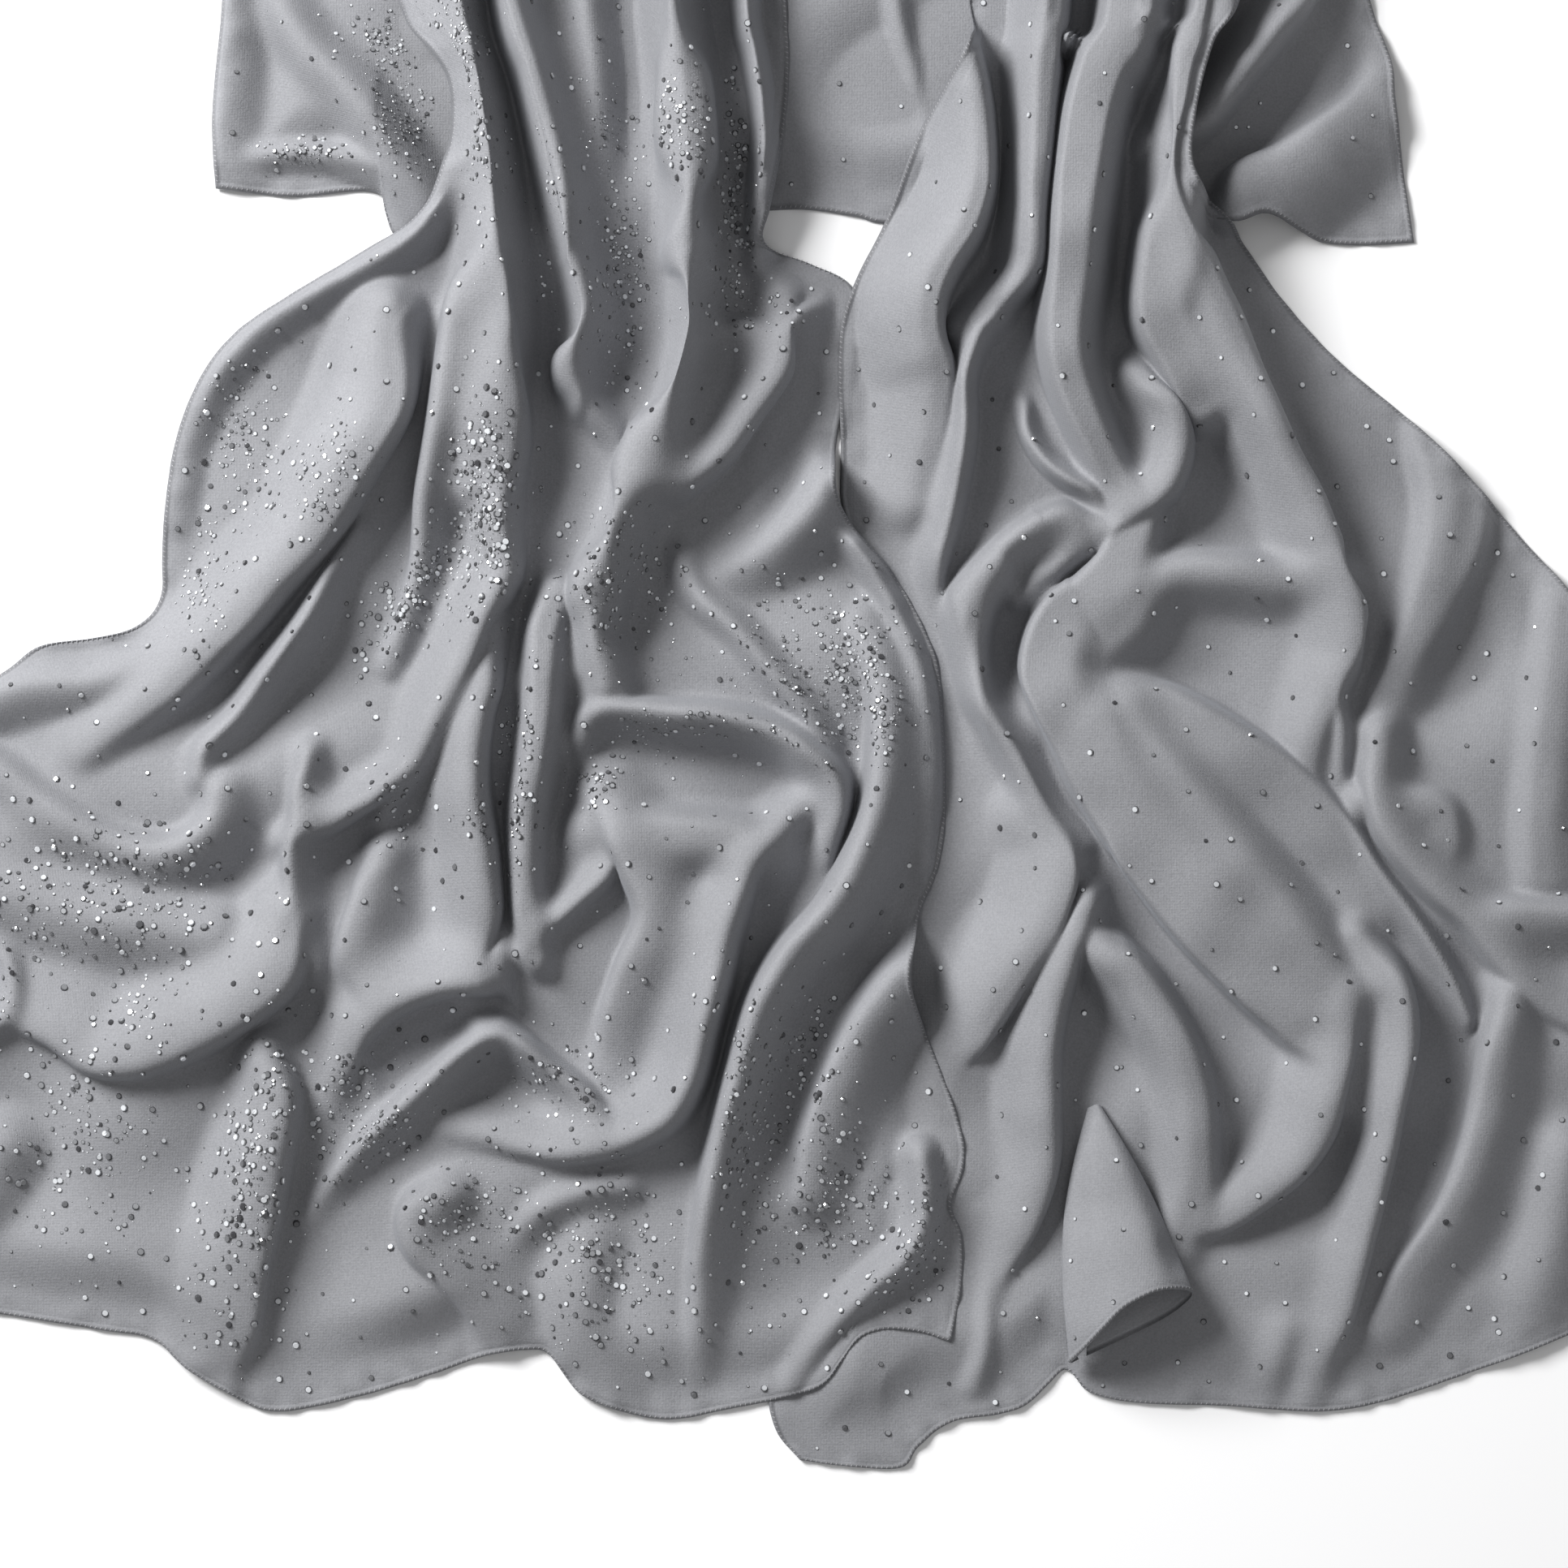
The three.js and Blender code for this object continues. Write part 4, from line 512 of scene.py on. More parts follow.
# Shares from 0 to 1, with the lines of a hem beside the start, and beside the end where it has one.
def hemmedShares(count, length, atEnd):
    start = np.array(hem["distances"]) / length
    end = 1 - (start if atEnd else start[:1])[::-1]
    between = np.linspace(start[-1], end[0], count + 1)[1:-1]
    return np.r_[start, between, end]


# The plan of a stretch, as rows of places between its four edges.
def planOf(stretch):
    edges = stretch["edges"]
    v = hemmedShares(stretch["along"], stretch["length"], False)
    left, right = alongCurve(edges["left"], v), alongCurve(edges["right"], v)
    corners = [np.array(edges[k][i], float) for k in ("near", "far") for i in (0, -1)]
    rows = []
    for share, a, b in zip(v, left, right):
        u = hemmedShares(stretch["across"], np.linalg.norm(b - a), True)[:, None]
        near, far = alongCurve(edges["near"], u[:, 0]), alongCurve(edges["far"], u[:, 0])
        ruled = a * (1 - u) + b * u + near * (1 - share) + far * share
        cornered = (corners[0] * (1 - u) + corners[1] * u) * (1 - share)
        rows.append(ruled - cornered - (corners[2] * (1 - u) + corners[3] * u) * share)
    return np.array(rows)


# A height map of what lies beneath, in cells, from which the next stretch takes its rest.
pileCell = 2
pileLow = np.array([-380, -340])
pileShape = (380, 350)
pileSoftening = 3
# How many cells each point fills around it, by what is laid on the pile.
pileSpread = dict(core=2, layer=1, cone=3)


def emptyPile():
    return np.zeros(pileShape)


# The pile with points laid on it, their edges softened.
def addToPile(pile, points, spread):
    cells = ((points[:, :2] - pileLow) / pileCell).astype(int)
    cells = np.clip(cells, 0, np.array(pileShape) - 1)
    layer = np.zeros(pileShape)
    np.maximum.at(layer, (cells[:, 0], cells[:, 1]), points[:, 2])
    for axis in (0, 1):
        for step in range(spread):
            beside = np.maximum(np.roll(layer, 1, axis), np.roll(layer, -1, axis))
            layer = np.maximum(layer, beside)
    soft = layer
    for step in range(pileSoftening):
        for axis in (0, 1):
            soft = (np.roll(soft, 1, axis) + soft * 2 + np.roll(soft, -1, axis)) / 4
    return np.maximum(pile, np.maximum(soft, 0))


def pileAt(pile, places):
    where = np.clip((places - pileLow) / pileCell - 0.5, 0, np.array(pileShape) - 2)
    cell = where.astype(int)
    t = where - cell
    x, y = cell[:, 0], cell[:, 1]
    low = pile[x, y] * (1 - t[:, 0]) + pile[x + 1, y] * t[:, 0]
    high = pile[x, y + 1] * (1 - t[:, 0]) + pile[x + 1, y + 1] * t[:, 0]
    return low * (1 - t[:, 1]) + high * t[:, 1]


# Soft unevenness of about this pitch, the same each run.
def uneven(places, pitch, seed):
    random = np.random.default_rng(seed)
    value = np.zeros(len(places))
    for wave in range(waves["count"]):
        angle = random.uniform(0, 2 * math.pi)
        size = 2 * math.pi / (pitch * random.uniform(waves["least"], waves["most"]))
        phase = random.uniform(0, 2 * math.pi)
        value += np.sin(places @ np.array([math.cos(angle), math.sin(angle)]) * size + phase)
    return value / math.sqrt(waves["count"])


# Softens a grid of values by averaging each with its neighbours.
def smoothed(grid, times):
    for turn in range(times):
        for axis in (0, 1):
            ends = [(1, 1) if k == axis else (0, 0) for k in range(grid.ndim)]
            wide = np.pad(grid, ends, mode="edge")
            count = grid.shape[axis]
            low = np.take(wide, range(count), axis)
            high = np.take(wide, range(2, count + 2), axis)
            grid = (low + 2 * grid + high) / 4
    return grid


# The points of a stretch of cloth: its plan raised by its folds and by what lies beneath.
def clothPoints(stretch, pile):
    plan = planOf(stretch)
    shape = plan.shape[:2]
    places = plan.reshape(-1, 2)
    height, push = foldField(places, stretch["folds"])
    for press in stretch["presses"]:
        x, y = places.T
        fade = drape["pressFade"]
        inRange = smoothStep(y, press["fromY"] - fade, press["fromY"]) * (
            1 - smoothStep(y, press["toY"], press["toY"] + fade))
        near = np.nonzero(inRange > 0)[0]
        free = smoothStep(outsideBy(press["outline"], places[near]), 0, drape["pressReach"])
        keep = np.ones(len(places))
        keep[near] = 1 - inRange[near] * (1 - free)
        height *= keep
        push *= keep[:, None]
    height = smoothed(height.reshape(shape), drape["smoothing"]).ravel()
    push = smoothed(push.reshape(*shape, 2), 3 * drape["smoothing"]).reshape(-1, 2)
    moved = places + push
    past = np.clip((moved[:, 1] - stretch["end"]) / drape["rollDepth"] + 1, 0, 1)
    height *= np.sqrt(1 - drape["rollShare"] * past ** 2)
    rough = drape["roughShare"] * uneven(moved, drape["roughPitch"], seeds["rough"])
    bumps = drape["bumps"] * uneven(moved, drape["bumpPitch"], seeds["bumps"])
    height = height * (1 + rough) + bumps
    swell = drape["swellWave"] * uneven(moved, drape["swellPitch"], seeds["swell"])
    swell += drape["swell"]
    hemDistance = fromHem(plan, True).ravel()
    swell *= smoothStep(hemDistance, drape["swellFrom"], drape["swellReach"])
    swell, height = np.maximum(swell, 0), np.maximum(height, 0)
    own = (drape["base"] ** 3 + swell ** 3 + height ** 3) ** (1 / 3)
    rest = pileAt(pile, moved)
    lifted = rest + drape["layerGap"] * (rest > drape["leastRest"])
    z = np.maximum(own, lifted).reshape(shape)
    z += hemRise(shape)
    z += hemRipple(plan)
    return np.dstack([moved.reshape(*shape, 2), z])


# The points of the open fold, from its mouth to where it starts, over what lies beneath.
def conePoints(pile):
    mouth = smoothPath(coneMouth, cone["mouthStep"])
    run = np.r_[0, np.cumsum(np.linalg.norm(np.diff(mouth[:, :3], axis=0), axis=1))]
    turn = np.linspace(0, run[-1], cone["around"] + 1)
    mouth = np.stack([np.interp(turn, run, mouth[:, i]) for i in range(4)], -1)
    edge = 1 - np.array(hem["distances"]) / cone["length"]
    shares = np.r_[edge, np.linspace(edge[-1], cone["begin"], cone["along"] + 1)[1:]][:, None]
    bulge = mouth[:, 3] * np.sin(math.pi * shares)
    x = coneStart[0] + (mouth[:, 0] - coneStart[0]) * shares + bulge
    y = coneStart[1] + (mouth[:, 1] - coneStart[1]) * shares
    rest = pileAt(pile, np.stack([x.ravel(), y.ravel()], -1)).reshape(x.shape)
    z = rest + cone["clear"] + mouth[:, 2] * shares ** cone["risePower"]
    points = np.dstack([x, y, z])
    across = np.gradient(points, axis=1)
    along = np.gradient(points, axis=0)
    outward = np.cross(across, along)
    outward /= np.linalg.norm(outward, axis=2)[..., None] + 1e-9
    rises = np.zeros(len(shares))
    rises[:len(hem["rises"])] = hem["rises"]
    return points + outward * rises[:, None, None]


# Distance from the nearest hem to each point of a stretch's grid.
def fromHem(plan, sideHems):
    sides = [np.linalg.norm(plan - plan[:1], axis=2)]
    if sideHems:
        sides.append(np.linalg.norm(plan - plan[:, :1], axis=2))
        sides.append(np.linalg.norm(plan - plan[:, -1:], axis=2))
    return np.min(sides, axis=0)


def hemRise(shape):
    rise = np.zeros(shape)
    for i, value in reversed(list(enumerate(hem["rises"]))):
        rise[i, i:shape[1] - i] = value
        rise[i:, i] = value
        rise[i:, -1 - i] = value
    return rise


# Small puckers where the hem draws the cloth in.
def hemRipple(plan):
    fade = np.exp(-(fromHem(plan, True) / drape["rippleReach"]) ** 2)
    places = plan.reshape(-1, 2)
    wave = uneven(places, drape["ripplePitch"], seeds["ripple"]).reshape(plan.shape[:2])
    return drape["rippleHeight"] * fade * wave


def addObject(name, data):
    obj = bpy.data.objects.new(name, data)
    bpy.context.scene.collection.objects.link(obj)
    return obj


# A mesh from rows of points, with a lip that gives its hemmed edges their thickness.
def clothObject(name, points, sideHems, material):
    plan = points[..., :2]
    hemDistance = fromHem(plan, sideHems)
    rows, columns = points.shape[:2]
    index = np.arange(rows * columns).reshape(rows, columns)
    quads = np.stack([index[:-1, :-1], index[:-1, 1:], index[1:, 1:], index[1:, :-1]], -1)
    rim = np.r_[index[0], index[1:, -1], index[-1, -2::-1], index[-2:0:-1, 0]]
    flat = points.reshape(-1, 3)
    lip = flat[rim] - [0, 0, drape["lip"]]
    lip[:, 2] = np.maximum(lip[:, 2], drape["leastLip"])
    lipIndex = np.arange(len(rim)) + len(flat)
    after = np.roll(np.arange(len(rim)), -1)
    band = np.stack([lipIndex, lipIndex[after], rim[after], rim], -1)
    mesh = bpy.data.meshes.new(name)
    vertices = np.vstack([flat, lip]) * mm
    mesh.from_pydata(vertices.tolist(), [], np.vstack([quads.reshape(-1, 4), band]).tolist())
    mesh.polygons.foreach_set("use_smooth", np.ones(len(mesh.polygons), bool))
    attribute = mesh.attributes.new("fromHem", "FLOAT", "POINT")
    values = np.r_[hemDistance.ravel(), hemDistance.ravel()[rim]] * mm
    attribute.data.foreach_set("value", values.astype(np.float32))
    mesh.materials.append(material)
    mesh.validate()
    return addObject(name, mesh)


def nodeGroup(name, outputs):
    group = bpy.data.node_groups.new(name, "ShaderNodeTree")
    for label, kind in outputs:
        group.interface.new_socket(label, in_out="OUTPUT", socket_type=kind)
    return group, group.nodes.new("NodeGroupOutput")


def addNode(tree, kind, settings=None, **links):
    node = tree.nodes.new(kind)
    for key, value in (settings or {}).items():
        if isinstance(key, int) or key in node.inputs:
            node.inputs[key].default_value = value
        else:
            setattr(node, key, value)
    for key, source in links.items():
        tree.links.new(source, node.inputs[int(key[1:])] if key[1:].isdigit() else node.inputs[key])
    return node


# Weave, grain and cloudiness of the chiffon in metres, shared by every stretch. bandsPerScale is
# the wave texture's own factor between its scale and the pitch of its bands.
weave = dict(threadPitch=0.00042, grainSize=0.0009, cloudSize=0.05, creaseSize=0.007,
             bandsPerScale=0.314, wander=1.2, threadHeight=0.45, creaseHeight=0.7)


def weaveGroup():
    group, out = nodeGroup("chiffonWeave", [
        ("Grain", "NodeSocketFloat"), ("Cloud", "NodeSocketFloat"), ("Height", "NodeSocketFloat")])
    where = addNode(group, "ShaderNodeTexCoord").outputs["Object"]
    grain, cloud, crease = (
        addNode(group, "ShaderNodeTexNoise", {
            "Scale": 1 / weave[size], "Detail": detail, "Roughness": roughness}, _0=where)
        for size, detail, roughness in (
            ("grainSize", 2.0, 0.7), ("cloudSize", 3.0, 0.5), ("creaseSize", 2.0, 0.5)))
    threads = []
    for direction in ("X", "Y"):
        wave = addNode(group, "ShaderNodeTexWave", {
            "bands_direction": direction, "Detail": 1.0, "Distortion": weave["wander"],
            "Scale": weave["bandsPerScale"] / weave["threadPitch"]}, _0=where)
        threads.append(wave.outputs["Fac"])
    crossing = addNode(group, "ShaderNodeMath", {"operation": "MAXIMUM"},
                       _0=threads[0], _1=threads[1])
    fine = addNode(group, "ShaderNodeMath", {"operation": "MULTIPLY", 1: weave["threadHeight"]},
                   _0=crossing.outputs[0])
    grainy = addNode(group, "ShaderNodeMath", {"operation": "ADD"}, _0=fine.outputs[0],
                     _1=grain.outputs["Fac"])
    coarse = addNode(group, "ShaderNodeMath", {
        "operation": "MULTIPLY_ADD", 1: weave["creaseHeight"]},
        _0=crease.outputs["Fac"], _2=grainy.outputs[0])
    group.links.new(grain.outputs["Fac"], out.inputs["Grain"])
    group.links.new(cloud.outputs["Fac"], out.inputs["Cloud"])
    group.links.new(coarse.outputs[0], out.inputs["Height"])
    return group


# A node that maps the values from low to high onto those from least to most.
def mapRange(tree, source, low, high, least, most):
    return addNode(tree, "ShaderNodeMapRange", {
        "From Min": low, "From Max": high, "To Min": least, "To Max": most}, _0=source).outputs[0]


def multiplied(tree, first, second):
    return addNode(tree, "ShaderNodeMath", {"operation": "MULTIPLY"},
                   _0=first, _1=second).outputs[0]


def newMaterial(name):
    material = bpy.data.materials.new(name)
    material.use_nodes = True
    return material, material.node_tree, material.node_tree.nodes["Principled BSDF"]


# A material of constant values alone.
def plainMaterial(name, values):
    material, tree, shader = newMaterial(name)
    for key, value in values.items():
        shader.inputs[key].default_value = value
    return material


def clothMaterial(name, settings, group):
    material, tree, shader = newMaterial(name)
    made = addNode(tree, "ShaderNodeGroup", {"node_tree": group})
    tone = mapRange(tree, made.outputs["Cloud"], *settings["cloudSpan"], *settings["cloudTones"])
    speck = mapRange(tree, made.outputs["Grain"], *settings["grainSpan"], *settings["grainTones"])
    both = multiplied(tree, tone, speck)
    edge = addNode(tree, "ShaderNodeAttribute", {"attribute_name": "fromHem"})
    inHem = mapRange(tree, edge.outputs["Fac"], *settings["hemEdge"], settings["hemTone"], 1.0)
    toned = multiplied(tree, both, inHem)
    colour = addNode(tree, "ShaderNodeMix", {"data_type": "RGBA", "blend_type": "MULTIPLY"})
    colour.inputs["Factor"].default_value = 1
    colour.inputs[6].default_value = (*settings["colour"], 1)
    tree.links.new(toned, colour.inputs[7])
    tree.links.new(colour.outputs[2], shader.inputs["Base Color"])
    low, high = (settings["roughness"] + sign * settings["roughnessMore"] for sign in (-1, 1))
    rough = mapRange(tree, made.outputs["Grain"], *settings["grainSpan"], low, high)
    tree.links.new(rough, shader.inputs["Roughness"])
    bump = addNode(tree, "ShaderNodeBump", {
        "Strength": settings["bump"], "Distance": settings["bumpHeight"]})
    tree.links.new(made.outputs["Height"], bump.inputs["Height"])
    tree.links.new(bump.outputs["Normal"], shader.inputs["Normal"])
    shader.inputs["Specular IOR Level"].default_value = settings["specular"]
    shader.inputs["Sheen Weight"].default_value = settings["sheen"]
    shader.inputs["Sheen Roughness"].default_value = settings["sheenRoughness"]
    shader.inputs["Sheen Tint"].default_value = (*settings["sheenTint"], 1)
    return material


# How the chiffon looks. hemEdge is where the hem's darker tone ends, in metres from the edge.
chiffon = dict(
    colour=(0.25, 0.253, 0.268), cloudSpan=(0.3, 0.7), cloudTones=(0.93, 1.07),
    grainSpan=(0.25, 0.75), grainTones=(0.87, 1.13), hemEdge=(0.0011, 0.0021), hemTone=0.66,
    roughness=0.6, roughnessMore=0.09, bump=0.75, bumpHeight=0.00022, specular=0.25,
    sheen=0.2, sheenRoughness=0.35, sheenTint=(0.85, 0.9, 1.0),
)
clothLook = clothMaterial("chiffon", chiffon, weaveGroup())

outlines = dict(left_tail=outlineOf(leftTailEdges), right_tail=outlineOf(rightTailEdges))
coneOutline = np.array([coneStart] + [row[:2] for row in coneMouth[1:11]] + [coneStart])
# Where the left tail lies over the right one, and where the right one's hem lies over the left.
overRight = dict(outline=outlines["left_tail"], fromY=-330, toY=50)
overLeft = dict(outline=outlines["right_tail"], fromY=56, toY=122)
everyY = dict(fromY=-400, toY=400)
stretches = dict(
    back_stretch=dict(edges=backEdges, folds=backFolds, across=230, along=90, length=150,
                      end=backEnd, presses=[]),
    left_tail=dict(edges=leftTailEdges, folds=leftTailFolds, across=230, along=300, length=700,
                   end=farEnd, presses=[overLeft]),
    right_tail=dict(edges=rightTailEdges, folds=rightTailFolds, across=200, along=320, length=700,
                    end=farEnd, presses=[overRight]),
)


# The points of one stretch that another one covers, in part of the plan.
def covered(points, outline, fromY, toY):
    flat = points.reshape(-1, 3)
    flat = flat[(flat[:, 1] > fromY) & (flat[:, 1] < toY)]
    return flat[outsideBy(outline, flat[:, :2]) < drape["coverReach"]]


# The hidden layers as points: an oval top, from this many across, that reaches this much past them.
hiddenLow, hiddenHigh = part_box("hidden_layers")
coreSpots = 80
coreMargin = 2
steps = np.linspace(-1, 1, coreSpots)
spots = np.stack(np.meshgrid(steps, steps), -1).reshape(-1, 2)
spots = spots[(spots ** 2).sum(1) < 1]
centre = np.array([hiddenLow.x + hiddenHigh.x, hiddenLow.y + hiddenHigh.y]) / 2 / mm
halves = np.array([hiddenHigh.x - hiddenLow.x, hiddenHigh.y - hiddenLow.y]) / 2 / mm
coreTop = np.hstack([centre + spots * (halves + coreMargin),
                     np.full((len(spots), 1), hiddenHigh.z / mm)])

shapes = {}
corePile = addToPile(emptyPile(), coreTop, pileSpread["core"])
shapes["back_stretch"] = clothPoints(stretches["back_stretch"], corePile)
backPoints = shapes["back_stretch"].reshape(-1, 3)
backPile = addToPile(emptyPile(), backPoints, pileSpread["layer"])
rightUnder = clothPoints(stretches["right_tail"], backPile)
hidden = covered(rightUnder, **overRight)
pile = addToPile(backPile, hidden, pileSpread["layer"])
shapes["left_tail"] = clothPoints(stretches["left_tail"], pile)
hidden = covered(shapes["left_tail"], **overLeft)
pile = addToPile(backPile, hidden, pileSpread["layer"])
shapes["right_tail"] = clothPoints(stretches["right_tail"], pile)
hidden = covered(shapes["right_tail"], coneOutline, **everyY)
shapes["cone_fold"] = conePoints(addToPile(emptyPile(), hidden, pileSpread["cone"]))
print("cloth shaped")

cloths = {}
for name, points in shapes.items():
    obj = clothObject(name + "_cloth", points, name in stretches, clothLook)
    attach(obj, body)
    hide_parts(name)
    cloths[name] = obj
    print(name, "cloth made,", 2 * len(obj.data.polygons), "triangles")

# Patches of crystals on the cloth: centre, half length across and along, turn in degrees, how many,
# and the smallest and greatest radius, in millimetres, before they are made larger and more.
patchKeys = ("x", "y", "across", "along", "turn", "count", "least", "most")
leftPatches = [
    (-116, 178, 12, 46, 10, 170, 0.3, 1.0), (-119, 200, 8, 22, 15, 110, 0.25, 0.6),
    (-110, 36, 14, 38, 0, 330, 0.3, 1.1), (-122, 12, 9, 24, -30, 150, 0.25, 0.7),
    (-141, -2, 10, 24, -35, 130, 0.3, 1.1), (-200, 58, 14, 32, 10, 170, 0.3, 0.9),
    (-168, 44, 14, 20, -20, 110, 0.3, 0.9), (-215, 4, 10, 22, 0, 90, 0.3, 0.8),
    (-88, 140, 8, 32, 5, 80, 0.25, 0.7), (-66, 172, 10, 22, 0, 80, 0.25, 0.6),
    (-60, 118, 9, 34, 0, 220, 0.25, 0.8), (-38, 170, 13, 16, 0, 130, 0.25, 0.9),
    (-18, 146, 7, 44, 0, 260, 0.25, 0.9), (-12, 104, 20, 10, 0, 50, 0.25, 0.7),
    (-62, 4, 28, 26, 0, 210, 0.25, 0.8), (28, -32, 17, 30, 10, 330, 0.25, 0.9),
    (0, -30, 24, 30, 0, 180, 0.25, 0.7), (-46, -52, 16, 8, 0, 60, 0.3, 0.9),
    (-70, -70, 11, 12, 0, 60, 0.3, 0.9), (-100, -60, 6, 42, 0, 160, 0.25, 0.8),
    (-140, -76, 11, 18, 0, 50, 0.3, 1.0), (-106, -82, 15, 12, 0, 50, 0.3, 0.9),
    (-246, -110, 45, 24, 0, 280, 0.3, 1.1), (-272, -132, 10, 9, 0, 25, 0.3, 1.0),
    (-236, -152, 12, 13, 0, 40, 0.3, 1.0), (-292, -150, 8, 14, 0, 25, 0.3, 1.0),
    (-262, -202, 30, 38, 0, 180, 0.3, 1.1), (-198, -222, 17, 62, -8, 340, 0.25, 1.1),
    (-162, -182, 18, 18, 0, 90, 0.3, 0.8), (-150, -200, 22, 12, 40, 120, 0.25, 0.7),
    (-80, -182, 22, 18, 0, 110, 0.3, 0.9), (-116, -230, 16, 20, 0, 130, 0.25, 0.9),
    (-68, -250, 30, 30, 0, 220, 0.3, 1.1), (-12, -200, 12, 52, 5, 260, 0.25, 0.9),
    (8, -175, 13, 26, -10, 110, 0.3, 0.9), (20, -222, 16, 30, 0, 160, 0.3, 1.0),
    (48, -240, 12, 26, 0, 110, 0.25, 0.9), (-330, -140, 26, 80, 0, 160, 0.3, 1.0),
    (-115, 275, 14, 46, 5, 150, 0.3, 1.0), (-30, 270, 20, 44, 0, 120, 0.3, 0.9),
]
backPatches = [
    (-176, 165, 16, 7, 0, 90, 0.25, 0.8), (-148, 204, 13, 13, 0, 150, 0.25, 0.7),
    (-140, 176, 11, 16, 0, 170, 0.25, 0.7), (-170, 250, 26, 30, 0, 80, 0.3, 0.8),
]
# Single crystals between the patches: spacing and radii in millimetres.
scatter = dict(
    back_stretch=dict(patches=backPatches, spacing=26, least=0.5, most=0.85),
    left_tail=dict(patches=leftPatches, spacing=14, least=0.35, most=1.05),
    right_tail=dict(patches=[], spacing=19, least=0.55, most=0.95),
    cone_fold=dict(patches=[], spacing=24, least=0.55, most=0.8),
)
# Shape of a crystal in shares of its radius, from its girdle to its flat table, how it tilts, how
# much larger and more the crystals are than in the rows above, and how rare the large ones are.
# aside is a direction from which the sides of each are laid out.
gem = dict(sides=8, table=0.62, height=0.5, sink=0.12, tilt=0.14, larger=1.5, rarer=2.3, more=1.3,
           aside=(0.3, 1, 0.2))
# Where crystals go: a patch's spread in shares of its half lengths, how far a single one strays in
# shares of the spacing, the margin along each edge in points of the grid, how near in millimetres a
# point of the cloth has to be and how nearness counts against height, the least upward part of the
# cloth's normal, and the strength of the painted highlight on the tops, its spread and its limits.
setting = dict(spread=0.56, mostSpread=1.4, stray=0.46, margin=7, reach=2.2, leastUp=0.3,
               nearness=2, tone=0.75, highlightSpread=0.3, leastHighlight=0.1, mostHighlight=1.1)
# How far in millimetres past a cover's ends, and past its outline, nothing is set.
coverMargin = dict(ends=8, outline=3)


def wantedPlaces(settings, low, high, random):
    places, radii = [], []
    for row in settings["patches"]:
        patch = dict(zip(patchKeys, row))
        count = round(patch["count"] * gem["more"])
        spread = random.normal(0, setting["spread"], (count, 2))
        spread = np.clip(spread, -setting["mostSpread"], setting["mostSpread"])
        spread *= [patch["across"], patch["along"]]
        turn = math.radians(patch["turn"])
        wheel = np.array([[math.cos(turn), math.sin(turn)], [-math.sin(turn), math.cos(turn)]])
        places.append(spread @ wheel + [patch["x"], patch["y"]])
        share = random.random(count) ** gem["rarer"]
        most = patch["most"] * gem["larger"]
        radii.append(patch["least"] + (most - patch["least"]) * share)
    step = settings["spacing"]
    columns, rows = (np.arange(low[axis], high[axis], step) for axis in (0, 1))
    grid = np.stack(np.meshgrid(columns, rows), -1)
    stray = random.uniform(-setting["stray"], setting["stray"], (grid.size // 2, 2))
    grid = grid.reshape(-1, 2) + stray * step
    places.append(grid)
    radii.append(random.uniform(settings["least"], settings["most"], len(grid)) * gem["larger"])
    return np.vstack(places), np.concatenate(radii)


def normalsOf(points):
    normals = np.cross(np.gradient(points, axis=1), np.gradient(points, axis=0))
    return normals / (np.linalg.norm(normals, axis=2)[..., None] + 1e-9)


# Is each place free of the stretches that lie over it?
def uncovered(places, covers):
    free = np.ones(len(places), bool)
    for cover in covers:
        inRange = ((places[:, 1] > cover["fromY"] - coverMargin["ends"])
                   & (places[:, 1] < cover["toY"] + coverMargin["ends"]))
        outside = outsideBy(cover["outline"], places[:, :2])
        free &= ~(inRange & (outside < coverMargin["outline"]))
    return free


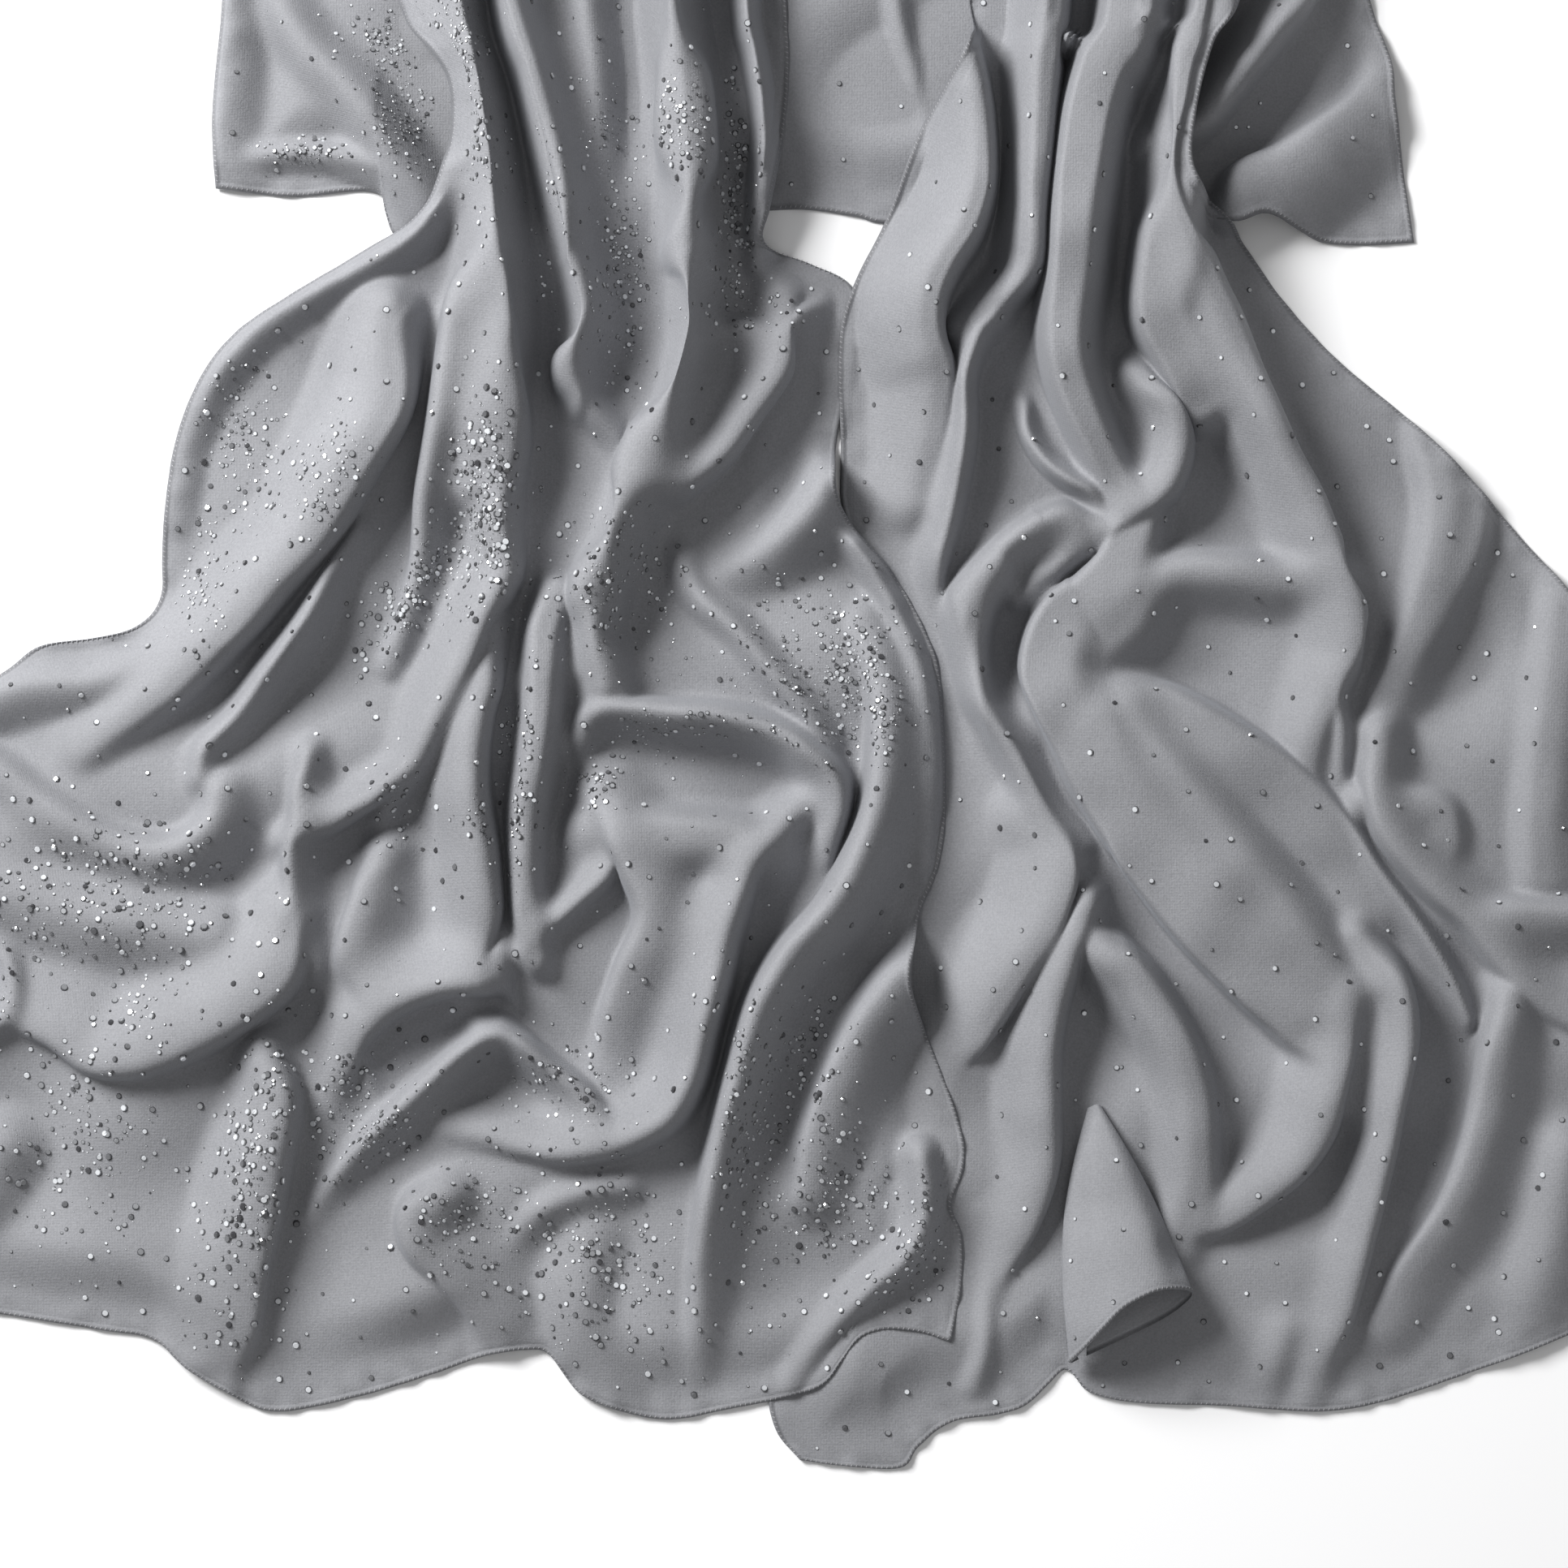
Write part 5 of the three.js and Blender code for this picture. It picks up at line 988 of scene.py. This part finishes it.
# Crystals set on the upper side of a stretch, each flat facet its own.
def crystalObject(name, points, settings, covers, seed):
    random = np.random.default_rng(seed)
    grids = points, np.gradient(points, axis=1), np.gradient(points, axis=0), normalsOf(points)
    inner = slice(setting["margin"], -setting["margin"])
    flat, across, along, normals = (grid[inner, inner].reshape(-1, 3) for grid in grids)
    wanted, radii = wantedPlaces(settings, flat[:, :2].min(0), flat[:, :2].max(0), random)
    tree = kdtree.KDTree(len(flat))
    for i, (x, y) in enumerate(flat[:, :2]):
        tree.insert((x, y, 0), i)
    tree.balance()
    chosen, kept = [], []
    for n, (x, y) in enumerate(wanted):
        near = [i for place, i, distance in tree.find_range((x, y, 0), setting["reach"])]
        if near:
            top = max(near, key=lambda i: flat[i, 2] - setting["nearness"] * math.dist(
                flat[i, :2], (x, y)))
            if normals[top, 2] > setting["leastUp"]:
                chosen.append(top)
                kept.append(n)
    chosen, radii = np.array(chosen), radii[kept]
    shift = random.uniform(-0.5, 0.5, (2, len(chosen), 1))
    centres = flat[chosen] + across[chosen] * shift[0] + along[chosen] * shift[1]
    free = uncovered(centres, covers)
    centres, radii, up = centres[free], radii[free], normals[chosen][free]
    up = up + random.normal(0, gem["tilt"], up.shape)
    up /= np.linalg.norm(up, axis=1)[:, None]
    side = np.cross(up, gem["aside"])
    side /= np.linalg.norm(side, axis=1)[:, None]
    other = np.cross(up, side)
    sides = gem["sides"]
    angles = random.uniform(0, 2 * math.pi, (len(centres), 1))
    angles = angles + np.arange(sides) * 2 * math.pi / sides
    ring = np.cos(angles)[..., None] * side[:, None] + np.sin(angles)[..., None] * other[:, None]
    ring *= radii[:, None, None]
    lift = (up * radii[:, None])[:, None]
    girdle = centres[:, None] + ring - lift * gem["sink"]
    table = centres[:, None] + ring * gem["table"] + lift * gem["height"]
    vertices = np.concatenate([girdle, table], axis=1).reshape(-1, 3) * mm
    start = np.arange(len(centres))[:, None] * 2 * sides
    k = np.arange(sides)
    after = (k + 1) % sides
    crowns = np.stack([start + k, start + after, start + after + sides, start + k + sides], -1)
    tables = start + k + sides
    mesh = bpy.data.meshes.new(name)
    mesh.from_pydata(vertices.tolist(), [], crowns.reshape(-1, 4).tolist() + tables.tolist())
    # tone is painted light: zero at the girdle for painted shade, each table's painted highlight
    # above.
    tone = np.tile(np.r_[np.zeros(sides), np.ones(sides)], len(centres))
    bright = random.normal(setting["tone"], setting["highlightSpread"], len(centres))
    bright = np.clip(bright, setting["leastHighlight"], setting["mostHighlight"])
    tone *= np.repeat(bright, 2 * sides)
    attribute = mesh.attributes.new("tone", "FLOAT", "POINT")
    attribute.data.foreach_set("value", tone.astype(np.float32))
    return addObject(name, mesh)


# Slanting stitches over the narrow rolled hems of a stretch.
def stitchObject(name, points, sideHems, covers):
    line = hem["stitchLine"]
    normals = normalsOf(points)
    hems = [(slice(line, line + 1), slice(line, -line))]
    if sideHems:
        hems += [(slice(line, None), slice(line, line + 1)),
                 (slice(line, None), slice(-1 - line, -line))]
    centres, ups, forwards = [], [], []
    for place in hems:
        path, up = points[place].reshape(-1, 3), normals[place].reshape(-1, 3)
        run = np.r_[0, np.cumsum(np.linalg.norm(np.diff(path, axis=0), axis=1))]
        stops = np.arange(hem["stitchPitch"], run[-1], hem["stitchPitch"])
        centres.append(np.stack([np.interp(stops, run, path[:, i]) for i in range(3)], -1))
        ups.append(np.stack([np.interp(stops, run, up[:, i]) for i in range(3)], -1))
        forwards.append(np.gradient(centres[-1], axis=0))
    centres, up, forward = (np.vstack(parts) for parts in (centres, ups, forwards))
    free = uncovered(centres, covers)
    centres, up, forward = centres[free], up[free], forward[free]
    up /= np.linalg.norm(up, axis=1)[:, None]
    forward /= np.linalg.norm(forward, axis=1)[:, None]
    slant = np.cross(up, forward) + hem["stitchSlant"] * forward
    slant *= hem["stitchLength"] / 2 / np.linalg.norm(slant, axis=1)[:, None]
    wide = np.cross(up, slant)
    wide *= hem["stitchWidth"] / np.linalg.norm(wide, axis=1)[:, None]
    raised = up * hem["stitchWidth"]
    corners = [centres - slant - raised, centres - wide, centres + slant - raised, centres + wide,
               centres + raised]
    vertices = np.stack(corners, 1).reshape(-1, 3) * mm
    start = np.arange(len(centres))[:, None] * len(corners)
    slopes = (0, 1, 4), (1, 2, 4), (2, 3, 4), (3, 0, 4)
    faces = np.concatenate([start + np.array(slope) for slope in slopes])
    mesh = bpy.data.meshes.new(name)
    mesh.from_pydata(vertices.tolist(), [], faces.tolist())
    mesh.polygons.foreach_set("use_smooth", np.ones(len(mesh.polygons), bool))
    return addObject(name, mesh)


threadLook = plainMaterial("thread", {"Base Color": (0.3, 0.3, 0.315, 1), "Roughness": 0.55})

# A crystal's colour goes from painted shade and dark reflection at the girdle to a painted
# highlight on the table, by this power of its share.
crystal = dict(paintedShade=(0.05, 0.05, 0.055, 1), bright=(0.78, 0.8, 0.83, 1), power=2.2,
               metallic=0.25, roughness=0.12, specular=0.9)
crystalLook, tree, gemShader = newMaterial("crystal")
# The base colour is painted light: shade and dark reflection at the girdle, a highlight on the
# table.
gemShadeToHighlight = addNode(tree, "ShaderNodeAttribute", {"attribute_name": "tone"})
gemPaintedLight = addNode(tree, "ShaderNodeMix", {
    "data_type": "RGBA", 6: crystal["paintedShade"], 7: crystal["bright"]})
gemHighlightShare = addNode(tree, "ShaderNodeMath", {"operation": "POWER", 1: crystal["power"]},
                   _0=gemShadeToHighlight.outputs["Fac"])
tree.links.new(gemHighlightShare.outputs[0], gemPaintedLight.inputs["Factor"])
tree.links.new(gemPaintedLight.outputs[2], gemShader.inputs["Base Color"])
gemShader.inputs["Metallic"].default_value = crystal["metallic"]
gemShader.inputs["Roughness"].default_value = crystal["roughness"]
gemShader.inputs["Specular IOR Level"].default_value = crystal["specular"]

extras = {name: [] for name in shapes}
coversOf = dict(
    left_tail=[overLeft],
    right_tail=[overRight, dict(outline=coneOutline, **everyY)],
    back_stretch=[dict(overRight, **everyY), dict(overLeft, **everyY)],
    cone_fold=[],
)
for seed, (name, settings) in enumerate(scatter.items(), seeds["crystals"]):
    made = [
        (crystalObject(name + "_crystals", shapes[name], settings, coversOf[name], seed),
         crystalLook, 2 * gem["sides"]),
        (stitchObject(name + "_stitches", shapes[name], name in stretches, coversOf[name]),
         threadLook, 5),
    ]
    for obj, look, corners in made:
        obj.data.materials.append(look)
        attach(obj, body)
        extras[name].append(obj)
        print(obj.name, "made,", len(obj.data.vertices) // corners)

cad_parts["hidden_layers"].data.materials.clear()
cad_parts["hidden_layers"].data.materials.append(clothLook)

for name, obj in cloths.items():
    print(name, "area", round(sum(face.area for face in obj.data.polygons), 4))

floorHalf = 3
floorMesh = bpy.data.meshes.new("floor")
floorMesh.from_pydata([(x * floorHalf, y * floorHalf, 0)
                       for x, y in ((-1, -1), (1, -1), (1, 1), (-1, 1))], [], [(0, 1, 2, 3)])
floor = addObject("floor", floorMesh)
floorMesh.materials.append(plainMaterial("floorWhite", {
    "Base Color": (0.94, 0.94, 0.945, 1), "Roughness": 0.7}))

# The camera looks straight down on aimY from this height, moved up by lift, and sees this width,
# in metres.
studio = dict(cameraHeight=2.0, lift=0.01, seen=0.5796, aimY=-0.070, sensor=36, world=0.3)
cameraData = bpy.data.cameras.new("camera")
cameraData.sensor_width = studio["sensor"]
cameraData.lens = studio["sensor"] * studio["cameraHeight"] / studio["seen"]
camera = addObject("camera", cameraData)
camera.location = (0, studio["aimY"], studio["cameraHeight"] + studio["lift"])
bpy.context.scene.camera = camera

lights = [
    dict(light="key", place=(-1.3, 1.08, 1.22), size=0.85, power=80),
    dict(light="fill", place=(1.3, -0.9, 1.9), size=2.2, power=4),
]
for row in lights:
    data = bpy.data.lights.new(row["light"], "AREA")
    data.size, data.energy = row["size"], row["power"]
    lamp = addObject(row["light"], data)
    lamp.location = row["place"]
    aim = Vector((0, studio["aimY"], 0)) - Vector(row["place"])
    lamp.rotation_euler = aim.to_track_quat("-Z", "Y").to_euler()
world = bpy.data.worlds.new("studio")
world.use_nodes = True
world.node_tree.nodes["Background"].inputs["Color"].default_value = (1, 1, 1, 1)
world.node_tree.nodes["Background"].inputs["Strength"].default_value = studio["world"]
bpy.context.scene.world = world
bpy.context.scene.view_settings.view_transform = "Standard"
